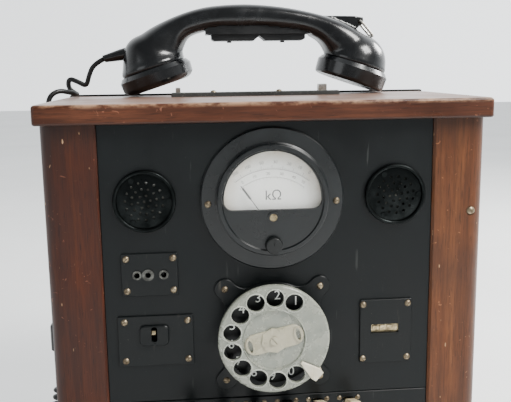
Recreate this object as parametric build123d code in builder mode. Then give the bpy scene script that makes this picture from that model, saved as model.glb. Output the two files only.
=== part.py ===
"""Bench telephone test set in a wooden cabinet: dial, ohmmeter, lever keys and a press-to-talk handset.

Millimetres. +X is the viewer's right, the front faces -Y and +Z is up.
The origin is on the floor under the middle of the object's box, its free cord left out.
"""

import os
from math import cos, pi, radians, sin

from build123d import *

os.makedirs("parts", exist_ok=True)

# ---------------------------------------------------------------- driving dimensions
# cabinet
lid_width = 320.0
lid_depth = 168.0
lid_thick = 14.0
lid_top = 300.0
lid_front_y = -81.5
body_width = 315.0
post_width = 39.0
post_depth = 22.0
post_corner = 11.0
wall_thick = 13.0
base_thick = 12.0
foot_height = 10.0
foot_radius = 11.0
back_thick = 3.5
back_rise = 1.5

# front panels
post_face_y = lid_front_y + 6.0
panel_face_y = lid_front_y + 8.0
panel_width = 237.0
panel_thick = 3.2
panel_seam_z = 82.0
seam_gap = 0.4
plate_thick = 1.6

# places on the panel, as (x, z)
meter_at = (2.4, 231.2)
dial_at = (0.8, 133.4)
grille_places = ((-87.4, 231.9), (91.0, 231.9))
jack_at = (-85.6, 178.9)
switch_at = (-83.0, 129.6)
slot_at = (85.9, 129.4)

# meter
meter_flange_r = 51.0
meter_bezel_r = 39.5
meter_window_r = 34.25
meter_window_drop = 6.4
meter_pivot_drop = 21.2
meter_zero_drop = 12.2
meter_knob_drop = 31.8
pointer_rest_angle = 35.5

# dial
wheel_r = 39.5
wheel_front_y = panel_face_y - 21.0
wheel_thick = 3.0
finger_hole_r = 6.3
finger_circle_r = 30.4
first_hole_angle = 62.0
hole_step_angle = 26.5
number_plate_face_y = wheel_front_y + 9.5
stop_angle = -41.5

# keys
key_pitch = 23.5
key_count = 6
key_pivot_z = 69.0
key_pivot_y = panel_face_y + 11.5
key_throw_angle = 20.0
key_length = 40.1

# handset, lying on the lid
handset_y = 68.2
ear_tilt = 18.7
mouth_tilt = -18.0
cap_r = 31.8
grip_depth = 28.0
talk_bar_drop = 46.0
ring_wire_r = 1.05

# cords
cord_r = 2.1
coil_r = 6.5

# fits
running_gap = 0.05
free_gap = 0.3


# ---------------------------------------------------------------- helpers
def front_plane(x, y, z):
    """A sketch plane facing the viewer: its x is +X, its y is +Z and it extrudes towards -Y."""
    return Plane(origin=(x, y, z), x_dir=(1, 0, 0), z_dir=(0, -1, 0))


def finish(piece, name):
    """Label a finished piece and write its STEP file."""
    piece.part.label = name
    export_step(piece.part, f"parts/{name}.step")


def polar(radius, angle):
    """A point on a circle, with the angle in degrees from +x."""
    return (radius * cos(radians(angle)), radius * sin(radians(angle)))


def slotted_screw(head_r, head_h, shank_r, shank_length, slot_width):
    """A round-head slotted screw with its head above z = 0 and its shank below."""
    with BuildPart() as screw:
        with BuildSketch(Plane.XZ):
            with BuildLine():
                Line((0, -shank_length), (shank_r, -shank_length))
                Line((shank_r, -shank_length), (shank_r, 0))
                Line((shank_r, 0), (head_r, 0))
                ThreePointArc((head_r, 0), (head_r * 0.72, head_h * 0.68), (0, head_h))
                Line((0, head_h), (0, -shank_length))
            make_face()
        revolve(axis=Axis.Z)
        with Locations((0, 0, head_h)):
            Box(2.2 * head_r, slot_width, head_h, mode=Mode.SUBTRACT)
    return screw.part


def gear_outline(teeth, module, tooth_share=0.36):
    """Points of a spur gear with straight-sided teeth that leave plenty of backlash."""
    pitch_r = teeth * module / 2
    step = 2 * pi / teeth
    points = []
    for tooth in range(teeth):
        middle = tooth * step
        half_root = step * (tooth_share / 2 + 0.09)
        half_tip = step * (tooth_share / 2 - 0.07)
        root_r = pitch_r - 1.15 * module
        tip_r = pitch_r + 0.8 * module
        for radius, angle in (
            (root_r, middle - half_root),
            (tip_r, middle - half_tip),
            (tip_r, middle + half_tip),
            (root_r, middle + half_root),
        ):
            points.append((radius * cos(angle), radius * sin(angle)))
    return points


# ---------------------------------------------------------------- cabinet
body_bottom = foot_height
body_top = lid_top - lid_thick
lid_back_y = lid_front_y + lid_depth
half_body = body_width / 2
inner_half = half_body - wall_thick
post_back_y = post_face_y + post_depth
panel_back_y = panel_face_y + panel_thick
lid_mid_y = lid_front_y + lid_depth / 2

hook_bar_y = lid_front_y + 117.0
hook_bar_thick = 3.5
plunger_left = {"x": -63.3, "wide": 4.0, "deep": 5.0, "rise": 4.0}
plunger_right = {"x": 57.5, "wide": 7.0, "deep": 7.0, "rise": 5.5}
bar_screw_x = (-34.0, 21.0)
screw_shank_r = 1.3
screw_shank_length = 4.4

with BuildPart() as lid:
    with Locations((0, lid_mid_y, lid_top - lid_thick / 2)):
        Box(lid_width, lid_depth, lid_thick)
    fillet(lid.edges().filter_by(Axis.Z), 3.0)
    fillet(lid.edges().group_by(Axis.Z)[-1], 2.4)
    fillet(lid.edges().group_by(Axis.Z)[0], 1.6)
    for plunger in (plunger_left, plunger_right):
        with Locations((plunger["x"], hook_bar_y, lid_top - lid_thick / 2)):
            Box(
                plunger["wide"] + 2 * running_gap,
                plunger["deep"] + 2 * running_gap,
                lid_thick + 2,
                mode=Mode.SUBTRACT,
            )
    with Locations(*[(x, hook_bar_y, lid_top) for x in bar_screw_x]):
        Cylinder(screw_shank_r + running_gap, 4, mode=Mode.SUBTRACT)
finish(lid, "lid")

post_screw_at = (147.3, 218.3)
foot_places = [(x, y) for x in (-136.0, 136.0) for y in (-60.0, 68.0)]
back_screw_z = (40.0, 150.0, 260.0)
back_screw_x = inner_half + wall_thick / 2
for side, name in ((-1, "left"), (1, "right")):
    with BuildPart() as post:
        with BuildSketch(Plane.XY.offset(body_bottom)):
            with Locations((side * (half_body - post_width / 2), (post_face_y + post_back_y) / 2)):
                Rectangle(post_width, post_depth)
        extrude(amount=body_top - body_bottom)
        outer_front = post.edges().filter_by(Axis.Z).filter_by(
            lambda edge: edge.center().Y < post_face_y + 1 and edge.center().X * side > half_body - 1
        )
        fillet(outer_front, post_corner)
        inner_front = post.edges().filter_by(Axis.Z).filter_by(
            lambda edge: edge.center().Y < post_face_y + 1 and edge.center().X * side < half_body - post_width + 1
        )
        chamfer(inner_front, 1.6)
        with Locations((side * foot_places[-1][0], foot_places[0][1], body_bottom)):
            Cylinder(1.6 + running_gap, 20, mode=Mode.SUBTRACT)
        if side > 0:
            with Locations(front_plane(post_screw_at[0], post_face_y, post_screw_at[1])):
                Cylinder(1.6 + running_gap, 24, mode=Mode.SUBTRACT)
                Cylinder(3.4, 1.6, mode=Mode.SUBTRACT)
    finish(post, f"post_{name}")

    with BuildPart() as wall:
        with Locations((side * (half_body - wall_thick / 2), (post_back_y + lid_back_y) / 2, 0)):
            with Locations((0, 0, (body_bottom + body_top) / 2)):
                Box(wall_thick, lid_back_y - post_back_y, body_top - body_bottom)
        for z in back_screw_z:
            with Locations(Plane(origin=(side * back_screw_x, lid_back_y, z), z_dir=(0, 1, 0))):
                Cylinder(1.6 + running_gap, 20, mode=Mode.SUBTRACT)
    finish(wall, f"side_wall_{name}")

with BuildPart() as base_board:
    with Locations((0, (panel_back_y + lid_back_y) / 2, body_bottom + base_thick / 2)):
        Box(2 * inner_half, lid_back_y - panel_back_y, base_thick)
    for side in (-1, 1):
        with Locations((side * inner_half, (panel_back_y + post_back_y) / 2, body_bottom)):
            Box(
                2 * (post_width - wall_thick) + 0.2,
                post_back_y - panel_back_y + 0.2,
                4 * base_thick,
                mode=Mode.SUBTRACT,
            )
        with Locations((side * foot_places[-1][0], foot_places[-1][1], body_bottom)):
            Cylinder(1.6 + running_gap, 20, mode=Mode.SUBTRACT)
finish(base_board, "base_board")

with BuildPart() as back_panel:
    with Locations((0, lid_back_y + back_thick / 2, (body_bottom + lid_top + back_rise) / 2)):
        Box(lid_width, back_thick, lid_top + back_rise - body_bottom)
    fillet(back_panel.edges().filter_by(Axis.Y), 2.0)
    for z in back_screw_z:
        for side in (-1, 1):
            with Locations(Plane(origin=(side * back_screw_x, lid_back_y, z), z_dir=(0, 1, 0))):
                Cylinder(1.6 + running_gap, 20, mode=Mode.SUBTRACT)
    for row in range(4):
        with Locations((0, lid_back_y, 222 + 12 * row)):
            Box(90, 20, 4, mode=Mode.SUBTRACT)
finish(back_panel, "back_panel")

with BuildPart() as rubber_feet:
    with BuildSketch(Plane.XY):
        with Locations(*foot_places):
            Circle(foot_radius)
    extrude(amount=foot_height, taper=-4)
    for x, y in foot_places:
        with Locations((x, y, 0)):
            Cylinder(4.6, 9.0, mode=Mode.SUBTRACT)
            Cylinder(1.65, 3 * foot_height, mode=Mode.SUBTRACT)
finish(rubber_feet, "rubber_feet")

wood_screw = slotted_screw(3.2, 1.5, 1.6, 11.0, 0.8)
with BuildPart() as wood_screws:
    for x, y in foot_places:
        with Locations(Plane(origin=(x, y, 4.5), z_dir=(0, 0, -1))):
            add(wood_screw)
    for z in back_screw_z:
        for side in (-1, 1):
            place = (side * back_screw_x, lid_back_y + back_thick, z)
            with Locations(Plane(origin=place, z_dir=(0, 1, 0))):
                add(wood_screw)
    with Locations(front_plane(post_screw_at[0], post_face_y + 0.8, post_screw_at[1])):
        add(wood_screw)
finish(wood_screws, "wood_screws")

# ---------------------------------------------------------------- places of the small screws
jack_size = (40.0, 31.0)
switch_size = (54.0, 37.5)
slot_size = (38.8, 48.6)
jack_screws = [(jack_at[0] + x, jack_at[1] + z) for x in (-16.4, 16.6) for z in (-11.6, 11.8)]
switch_screws = [(switch_at[0] + x, switch_at[1] + z) for x in (-22.0, 23.0) for z in (-14.6, 14.6)]
slot_screws = [(slot_at[0] + x, slot_at[1] + z) for x in (-17.2, 16.2) for z in (-20.8, 20.8)]
plate_screws = jack_screws + switch_screws + slot_screws
ear_offset = 34.6
ear_centre = (dial_at[0] + 1.1, dial_at[1] - 1.9)
dial_screws = [
    (ear_centre[0] + sx * ear_offset, ear_centre[1] + sz * ear_offset) for sx in (-1, 1) for sz in (-1, 1)
]
flange_screw_offset = 45.6
meter_screws = [(meter_at[0] + side * flange_screw_offset, meter_at[1] - 2.4) for side in (-1, 1)]
key_x = [(index - (key_count - 1) / 2) * key_pitch for index in range(key_count)]
key_screw_z = 77.4
key_screws = [(x + side * 7.0, key_screw_z) for x in key_x for side in (-1, 1)]

strip_window = (20.6, 6.4)
window_at = (slot_at[0] - 0.6, slot_at[1] + 2.1)
toggle_at = (switch_at[0] - 1.0, switch_at[1] + 5.4)
meter_can_r = 37.6
dial_case_r = 27.5
capsule_r = 18.5
dial_plate_thick = 2.0
ear_width = 15.0
meter_flange_thick = 3.0
socket_offsets = (-9.0, -1.2, 9.9)
jack_bore_r = 2.0
bush_r = 3.1

# ---------------------------------------------------------------- front panels
with BuildPart() as front_panel:
    panel_height = body_top - panel_seam_z - seam_gap
    with BuildSketch(front_plane(0, panel_back_y, panel_seam_z + seam_gap + panel_height / 2)):
        Rectangle(panel_width, panel_height)
    extrude(amount=panel_thick)
    chamfer(front_panel.faces().sort_by(Axis.Y)[0].edges(), 0.5)
    with BuildSketch(front_plane(0, panel_back_y, 0)):
        with Locations(meter_at):
            Circle(meter_can_r + free_gap)
        with Locations(dial_at):
            Circle(dial_case_r + free_gap)
        with Locations(*grille_places):
            Circle(capsule_r + free_gap)
        with Locations(jack_at):
            Rectangle(30, 12)
        with Locations(toggle_at):
            Rectangle(14, 16)
        with Locations(window_at):
            Rectangle(24, 12)
        with Locations(*(plate_screws + dial_screws + meter_screws)):
            Circle(screw_shank_r + running_gap)
    extrude(amount=panel_thick, mode=Mode.SUBTRACT)
finish(front_panel, "front_panel")

lever_wide = 7.4
slot_half_height = 9.2
with BuildPart() as key_panel:
    with BuildSketch(front_plane(0, panel_back_y, (body_bottom + panel_seam_z) / 2)):
        Rectangle(panel_width, panel_seam_z - body_bottom)
    extrude(amount=panel_thick)
    chamfer(key_panel.faces().sort_by(Axis.Y)[0].edges(), 0.5)
    with BuildSketch(front_plane(0, panel_back_y, 0)):
        with Locations(*[(x, key_pivot_z) for x in key_x]):
            RectangleRounded(lever_wide + 1.6, 2 * slot_half_height, 2.0)
        with Locations(*key_screws):
            Circle(screw_shank_r + running_gap)
    extrude(amount=panel_thick, mode=Mode.SUBTRACT)
finish(key_panel, "key_panel")

# ---------------------------------------------------------------- small plates and what they carry
with BuildPart() as jack_plate:
    with BuildSketch(front_plane(jack_at[0], panel_face_y, jack_at[1])):
        RectangleRounded(*jack_size, 1.2)
    extrude(amount=plate_thick)
    chamfer(jack_plate.faces().sort_by(Axis.Y)[0].edges(), 0.3)
    with BuildSketch(front_plane(0, panel_face_y, 0)):
        with Locations(*[(jack_at[0] + x, jack_at[1]) for x in socket_offsets]):
            Circle(bush_r)
        with Locations(*jack_screws):
            Circle(screw_shank_r + running_gap)
    extrude(amount=plate_thick, mode=Mode.SUBTRACT)
finish(jack_plate, "jack_plate")

bush_length = 14.0
bush_collar = 0.9
with BuildPart() as socket_bushes:
    for offset, collar_r in zip(socket_offsets, (3.3, 4.2, 3.4)):
        with BuildSketch(front_plane(jack_at[0] + offset, panel_face_y - plate_thick, jack_at[1])):
            Circle(collar_r)
        extrude(amount=bush_collar)
        with BuildSketch(front_plane(jack_at[0] + offset, panel_face_y - plate_thick, jack_at[1])):
            Circle(bush_r)
        extrude(amount=bush_collar - bush_length)
        with BuildSketch(front_plane(jack_at[0] + offset, panel_face_y - plate_thick - bush_collar, jack_at[1])):
            Circle(jack_bore_r)
        extrude(amount=-bush_length, mode=Mode.SUBTRACT)
finish(socket_bushes, "socket_bushes")

toggle_pivot = (toggle_at[0], panel_face_y + 4.0, toggle_at[1])
toggle_r = 1.25
boss_size = (21.0, 15.0)
boss_rise = 2.2
with BuildPart() as switch_plate:
    with BuildSketch(front_plane(switch_at[0], panel_face_y, switch_at[1])):
        RectangleRounded(*switch_size, 1.2)
    extrude(amount=plate_thick)
    chamfer(switch_plate.faces().sort_by(Axis.Y)[0].edges(), 0.3)
    boss_top_y = panel_face_y - plate_thick
    with BuildSketch(front_plane(toggle_pivot[0], boss_top_y, toggle_pivot[2] - 1.0)):
        RectangleRounded(*boss_size, 3.5)
    extrude(amount=boss_rise)
    chamfer(switch_plate.faces().sort_by(Axis.Y)[0].edges(), 0.7)
    with BuildSketch(front_plane(toggle_pivot[0], panel_face_y, toggle_pivot[2])):
        RectangleRounded(4.2, 11.0, 1.6)
    extrude(amount=plate_thick + boss_rise, mode=Mode.SUBTRACT)
    with BuildSketch(front_plane(toggle_pivot[0], boss_top_y - boss_rise, toggle_pivot[2] - 7.4)):
        Circle(0.9)
    extrude(amount=0.4)
    with BuildSketch(front_plane(0, panel_face_y, 0)):
        with Locations(*switch_screws):
            Circle(screw_shank_r + running_gap)
    extrude(amount=plate_thick, mode=Mode.SUBTRACT)
    for side in (-1, 1):
        with Locations((toggle_pivot[0] + side * 3.4, panel_face_y + 3.0, toggle_pivot[2])):
            Box(1.4, 6.0, 8.0)
    with BuildSketch(Plane.YZ.offset(toggle_pivot[0] - 3.4)):
        with Locations((toggle_pivot[1], toggle_pivot[2])):
            Circle(0.8)
    extrude(amount=6.8)
finish(switch_plate, "switch_plate")

with BuildPart() as switch_toggle:
    with BuildSketch(Plane.YZ.offset(toggle_pivot[0] - toggle_r)):
        with Locations((toggle_pivot[1], toggle_pivot[2])):
            Circle(2.2)
            with Locations(Location((0, 0, 0), (0, 0, 165))):
                with Locations((6.8, 0)):
                    Rectangle(13.6, 2.2)
                with Locations((13.0, 0)):
                    Circle(1.6)
    extrude(amount=2 * toggle_r)
    with BuildSketch(Plane.YZ.offset(toggle_pivot[0] - 5)):
        with Locations((toggle_pivot[1], toggle_pivot[2])):
            Circle(0.8 + running_gap)
    extrude(amount=10, mode=Mode.SUBTRACT)
finish(switch_toggle, "switch_toggle")

with BuildPart() as slot_plate:
    with BuildSketch(front_plane(slot_at[0], panel_face_y, slot_at[1])):
        RectangleRounded(*slot_size, 1.2)
    extrude(amount=plate_thick)
    chamfer(slot_plate.faces().sort_by(Axis.Y)[0].edges(), 0.3)
    with BuildSketch(front_plane(0, panel_face_y, 0)):
        with Locations(window_at):
            RectangleRounded(*strip_window, 0.8)
        with Locations(*slot_screws):
            Circle(screw_shank_r + running_gap)
    extrude(amount=plate_thick, mode=Mode.SUBTRACT)
    lip_z = window_at[1] - strip_window[1] / 2 - 0.5
    with Locations((window_at[0], panel_face_y - plate_thick - 0.5, lip_z)):
        Box(strip_window[0], 1.0, 1.0)
finish(slot_plate, "slot_plate")

with BuildPart() as lamp_strip:
    with BuildSketch(front_plane(window_at[0], panel_face_y + 1.4, window_at[1])):
        Rectangle(22.6, 9.0)
    extrude(amount=1.4)
    with BuildSketch(front_plane(window_at[0] - 1.4, panel_face_y, window_at[1] + 0.3)):
        with Locations((-5.4, 0), (0, 0), (5.4, 0)):
            RectangleRounded(4.4, 3.6, 0.8)
    extrude(amount=0.9)
finish(lamp_strip, "lamp_strip")

# ---------------------------------------------------------------- capsule grilles beside the meter
grille_r = 22.0
grille_rim = 2.2
dome_rise = 2.6
with BuildPart() as speaker_grilles:
    for grille_x, grille_z in grille_places:
        with BuildSketch(Plane(origin=(grille_x, panel_face_y, grille_z), z_dir=(0, 0, 1))):
            with BuildLine():
                Line((0, -dome_rise), (0, -dome_rise - 1.2))
                ThreePointArc((0, -dome_rise - 1.2), (10.0, -dome_rise - 0.5), (19.2, -1.9))
                Line((19.2, -1.9), (19.6, -grille_rim - 1.0))
                ThreePointArc((19.6, -grille_rim - 1.0), (20.8, -grille_rim - 1.5), (grille_r, -grille_rim))
                Line((grille_r, -grille_rim), (grille_r, 0))
                Line((grille_r, 0), (19.2, 0))
                ThreePointArc((19.2, 0), (10.0, -dome_rise * 0.72), (0, -dome_rise))
            make_face()
        revolve(axis=Axis((grille_x, panel_face_y, grille_z), (0, 1, 0)))
        with Locations(front_plane(grille_x, panel_face_y, grille_z)):
            with PolarLocations(16.9, 3, start_angle=0, angular_range=360):
                Cylinder(1.9, 3.2, rotation=(0, 0, 0), align=(Align.CENTER, Align.CENTER, Align.MIN))
    for grille_x, grille_z in grille_places:
        with BuildSketch(front_plane(grille_x, panel_face_y + 1, grille_z)):
            Circle(1.0)
            for ring_r, count in ((4.4, 6), (8.8, 12), (13.2, 15)):
                with PolarLocations(ring_r, count, start_angle=10):
                    Circle(0.95)
        extrude(amount=8, mode=Mode.SUBTRACT)
finish(speaker_grilles, "speaker_grilles")

with BuildPart() as capsule_units:
    with BuildSketch(front_plane(0, panel_back_y + 14, 0)):
        with Locations(*grille_places):
            Circle(capsule_r)
    extrude(amount=16)
    chamfer(capsule_units.edges().group_by(Axis.Y)[-1], 2.0)
finish(capsule_units, "capsule_units")

# ---------------------------------------------------------------- meter
meter_x, meter_z = meter_at
flange_front_y = panel_face_y - meter_flange_thick
bezel_front_y = panel_face_y - 9.5
cover_front_y = bezel_front_y + 1.4
cover_back_y = cover_front_y + 1.8
meter_axis = Axis((meter_x, 0, meter_z), (0, 1, 0))
pivot_z = meter_z - meter_pivot_drop
zero_z = meter_z - meter_zero_drop
knob_z = meter_z - meter_knob_drop
knob_boss_y = cover_back_y + 6.0

with BuildPart() as meter_housing:
    with BuildSketch(Plane(origin=(meter_x, 0, meter_z), z_dir=(0, 0, 1))):
        with BuildLine():
            Line((0, cover_back_y), (0, cover_front_y))
            Line((0, cover_front_y), (35.4, cover_front_y))
            Line((35.4, cover_front_y), (36.2, bezel_front_y))
            Line((36.2, bezel_front_y), (38.4, bezel_front_y))
            ThreePointArc(
                (38.4, bezel_front_y),
                (meter_bezel_r - 0.3, bezel_front_y + 0.4),
                (meter_bezel_r, bezel_front_y + 1.4),
            )
            Line((meter_bezel_r, bezel_front_y + 1.4), (meter_bezel_r, flange_front_y - 1.0))
            Line((meter_bezel_r, flange_front_y - 1.0), (meter_bezel_r + 1.2, flange_front_y))
            Line((meter_bezel_r + 1.2, flange_front_y), (meter_flange_r - 1.0, flange_front_y))
            Line((meter_flange_r - 1.0, flange_front_y), (meter_flange_r, flange_front_y + 1.0))
            Line((meter_flange_r, flange_front_y + 1.0), (meter_flange_r, panel_face_y))
            Line((meter_flange_r, panel_face_y), (36.0, panel_face_y))
            Line((36.0, panel_face_y), (36.0, cover_back_y))
            Line((36.0, cover_back_y), (0, cover_back_y))
        make_face()
    revolve(axis=meter_axis)
    with BuildSketch(front_plane(meter_x, cover_back_y + 0.5, meter_z)):
        Circle(meter_window_r)
        with Locations((0, -meter_window_drop - 50)):
            Rectangle(120, 100, mode=Mode.SUBTRACT)
        fillet(vertices().sort_by(Axis.Y)[0:2], 6.0)
    extrude(amount=4, taper=-12, mode=Mode.SUBTRACT)
    with BuildSketch(front_plane(meter_x, cover_front_y, zero_z)):
        Circle(4.1)
    extrude(amount=1.2)
    with BuildSketch(front_plane(meter_x, cover_back_y + 1, zero_z)):
        Circle(2.7 + running_gap)
    extrude(amount=8, mode=Mode.SUBTRACT)
    with BuildSketch(front_plane(meter_x, knob_boss_y, knob_z)):
        Circle(3.4)
    extrude(amount=knob_boss_y - cover_back_y)
    with BuildSketch(front_plane(meter_x, knob_boss_y + 1, knob_z)):
        Circle(2.0 + running_gap)
    extrude(amount=12, mode=Mode.SUBTRACT)
    with BuildSketch(front_plane(0, panel_face_y + 1, 0)):
        with Locations(*meter_screws):
            Circle(screw_shank_r + running_gap)
    extrude(amount=6, mode=Mode.SUBTRACT)
finish(meter_housing, "meter_housing")

glass_drop = 8.2
with BuildPart() as meter_glass:
    with BuildSketch(front_plane(meter_x, cover_back_y + 1.1, meter_z)):
        Circle(35.7)
        with Locations((0, -glass_drop - 50)):
            Rectangle(120, 100, mode=Mode.SUBTRACT)
    extrude(amount=1.1)
finish(meter_glass, "meter_glass")

scale_face_y = panel_face_y - 1.6
with BuildPart() as meter_scale:
    with BuildSketch(front_plane(meter_x, scale_face_y + 1.0, meter_z)):
        Circle(35.95)
        with Locations((0, -14.0 - 50)):
            Rectangle(120, 100, mode=Mode.SUBTRACT)
    extrude(amount=1.0)
    with BuildSketch(front_plane(meter_x, scale_face_y + 1.0, pivot_z)):
        Circle(8.0)
    extrude(amount=1.0, mode=Mode.SUBTRACT)
finish(meter_scale, "meter_scale")

can_back_y = panel_back_y + 34
with BuildPart() as meter_can:
    with BuildSketch(front_plane(meter_x, can_back_y, meter_z)):
        Circle(meter_can_r)
    extrude(amount=can_back_y - panel_face_y - 0.1)
    with BuildSketch(front_plane(meter_x, can_back_y - 1.5, meter_z)):
        Circle(meter_can_r - 1.5)
    extrude(amount=60, mode=Mode.SUBTRACT)
    with BuildSketch(front_plane(meter_x, can_back_y - 1.5, pivot_z)):
        Circle(2.4)
    extrude(amount=3.0)
    with BuildSketch(front_plane(meter_x, can_back_y - 2.5, pivot_z)):
        Circle(0.6 + running_gap)
    extrude(amount=4.0, mode=Mode.SUBTRACT)
finish(meter_can, "meter_can")

magnet_front_y = panel_back_y + 6
magnet_back_y = magnet_front_y + 16
with BuildPart() as meter_magnet:
    with BuildSketch(front_plane(meter_x, magnet_back_y, pivot_z)):
        Circle(14.0)
        Circle(9.8, mode=Mode.SUBTRACT)
    extrude(amount=magnet_back_y - magnet_front_y)
    with BuildSketch(front_plane(meter_x, can_back_y - 1.5, pivot_z)):
        with Locations((-11.9, 0), (11.9, 0)):
            Circle(2.0)
    extrude(amount=can_back_y - 1.5 - magnet_back_y)
    with BuildSketch(front_plane(meter_x, magnet_back_y, pivot_z)):
        Circle(6.4)
    extrude(amount=12.0)
    with BuildSketch(front_plane(meter_x, magnet_back_y, pivot_z)):
        Rectangle(22.0, 3.0)
    extrude(amount=2.0)
    with BuildSketch(front_plane(meter_x, magnet_back_y + 1, pivot_z)):
        Circle(1.6)
    extrude(amount=20, mode=Mode.SUBTRACT)
finish(meter_magnet, "meter_magnet")

pointer_y = scale_face_y - 2.0
coil_front_y = magnet_front_y - 1.6
coil_back_y = magnet_back_y + 2.6
with BuildPart() as meter_pointer:
    with BuildSketch(front_plane(meter_x, can_back_y - 2.8, pivot_z)):
        Circle(0.6)
    extrude(amount=can_back_y - 2.8 - pointer_y + 0.4)
    with BuildSketch(front_plane(meter_x, pointer_y, pivot_z)):
        Circle(2.0)
        with Locations(Location((0, 0, 0), (0, 0, 90 + pointer_rest_angle))):
            with Locations((19.2, 0)):
                Rectangle(38.4, 0.55)
            with Locations((31.5, 0)):
                Rectangle(9.5, 1.4)
            with Locations((-4.0, 0)):
                Rectangle(4.4, 3.4)
    extrude(amount=0.5)
    for start_y, length in ((coil_front_y + 1.0, 1.0), (coil_back_y, 1.0)):
        with BuildSketch(front_plane(meter_x, start_y, pivot_z)):
            with Locations(Location((0, 0, 0), (0, 0, 127.5))):
                Rectangle(17.6, 2.6)
        extrude(amount=length)
    with BuildSketch(front_plane(meter_x, coil_back_y, pivot_z)):
        with Locations(Location((0, 0, 0), (0, 0, 127.5))):
            with Locations((-8.2, 0), (8.2, 0)):
                Rectangle(1.2, 2.6)
    extrude(amount=coil_back_y - coil_front_y)
finish(meter_pointer, "meter_pointer")

with BuildPart() as meter_zero_screw:
    with BuildSketch(front_plane(meter_x, cover_back_y + 0.4, zero_z)):
        Circle(2.7)
    extrude(amount=cover_back_y + 0.4 - cover_front_y + 0.6)
    with Locations((meter_x, cover_front_y - 0.6, zero_z)):
        Box(7.0, 1.4, 0.8, rotation=(0, 35, 0), mode=Mode.SUBTRACT)
finish(meter_zero_screw, "meter_zero_screw")

with BuildPart() as meter_knob:
    with BuildSketch(front_plane(meter_x, bezel_front_y - 0.35, knob_z)):
        Circle(6.2)
    extrude(amount=3.8, taper=7)
    fillet(meter_knob.faces().sort_by(Axis.Y)[0].edges(), 0.8)
    with BuildSketch(front_plane(meter_x, bezel_front_y, knob_z)):
        with PolarLocations(6.6, 14):
            Circle(0.75)
    extrude(amount=9, mode=Mode.SUBTRACT)
    with BuildSketch(front_plane(meter_x, knob_boss_y + 1.6, knob_z)):
        Circle(2.0)
    extrude(amount=knob_boss_y + 1.6 - bezel_front_y + 0.6)
    with BuildSketch(front_plane(meter_x, knob_boss_y + 1.2, knob_z)):
        Circle(3.2)
    extrude(amount=1.0)
    with Locations((meter_x, bezel_front_y - 4.1, knob_z + 3.0)):
        Box(0.8, 0.9, 4.4, mode=Mode.SUBTRACT)
finish(meter_knob, "meter_knob")

# ---------------------------------------------------------------- dial
dial_x, dial_z = dial_at
dial_axis = Axis((dial_x, 0, dial_z), (0, 1, 0))
case_front_y = number_plate_face_y + 2.8
case_back_y = panel_back_y + 32
case_wall = 2.0
main_teeth = 40
main_module = 0.6
pinion_teeth = 10
second_teeth = 30
second_module = 0.5
governor_teeth = 10
arbor_at = (0.0, (main_teeth + pinion_teeth) * main_module / 2)
governor_centres = (second_teeth + governor_teeth) * second_module / 2
governor_bearing = 198.0
governor_at = (
    arbor_at[0] + governor_centres * cos(radians(governor_bearing)),
    arbor_at[1] + governor_centres * sin(radians(governor_bearing)),
)
arbor_r = 1.2

with BuildPart() as dial_plate:
    with BuildSketch(front_plane(ear_centre[0], panel_face_y, ear_centre[1])):
        Circle(38.5)
        with Locations(Location((0, 0, 0), (0, 0, 45)), Location((0, 0, 0), (0, 0, -45))):
            SlotCenterToCenter(2 * ear_offset * 2**0.5, ear_width)
        corners = vertices().filter_by(lambda v: Vector(v.X, v.Y).length < 39.5)
        fillet(corners, 12.0)
    extrude(amount=dial_plate_thick)
    with BuildSketch(front_plane(dial_x, panel_face_y, dial_z)):
        Circle(dial_case_r + free_gap)
    extrude(amount=dial_plate_thick, mode=Mode.SUBTRACT)
    chamfer(dial_plate.faces().sort_by(Axis.Y)[0].outer_wire().edges(), 0.5)
    with BuildSketch(front_plane(0, panel_face_y, 0)):
        with Locations(*dial_screws):
            Circle(screw_shank_r + running_gap)
    extrude(amount=dial_plate_thick, mode=Mode.SUBTRACT)
finish(dial_plate, "dial_plate")

with BuildPart() as dial_case:
    with BuildSketch(front_plane(dial_x, panel_face_y - dial_plate_thick, dial_z)):
        Circle(36.8)
    extrude(amount=panel_face_y - dial_plate_thick - case_front_y, taper=2)
    with BuildSketch(front_plane(dial_x, panel_face_y - dial_plate_thick, dial_z)):
        Circle(dial_case_r)
    extrude(amount=panel_face_y - dial_plate_thick - case_back_y)
    with BuildSketch(front_plane(dial_x, case_back_y - case_wall, dial_z)):
        Circle(dial_case_r - case_wall)
    extrude(amount=case_back_y - case_front_y, mode=Mode.SUBTRACT)
    with BuildSketch(front_plane(dial_x, case_back_y, dial_z)):
        Circle(2.0 + running_gap)
        with Locations(arbor_at, governor_at):
            Circle(arbor_r + running_gap)
    extrude(amount=case_wall, mode=Mode.SUBTRACT)
finish(dial_case, "dial_case")

with BuildPart() as number_plate:
    with BuildSketch(front_plane(dial_x, case_front_y, dial_z)):
        Circle(36.2)
    extrude(amount=case_front_y - number_plate_face_y)
    chamfer(number_plate.faces().sort_by(Axis.Y)[0].edges(), 0.5)
    with BuildSketch(front_plane(dial_x, case_front_y, dial_z)):
        Circle(3.0 + running_gap)
    extrude(amount=6, mode=Mode.SUBTRACT)
    with BuildSketch(front_plane(dial_x, case_front_y, dial_z)):
        with Locations(arbor_at, governor_at):
            Circle(arbor_r + running_gap)
    extrude(amount=1.6, mode=Mode.SUBTRACT)
finish(number_plate, "number_plate")

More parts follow.
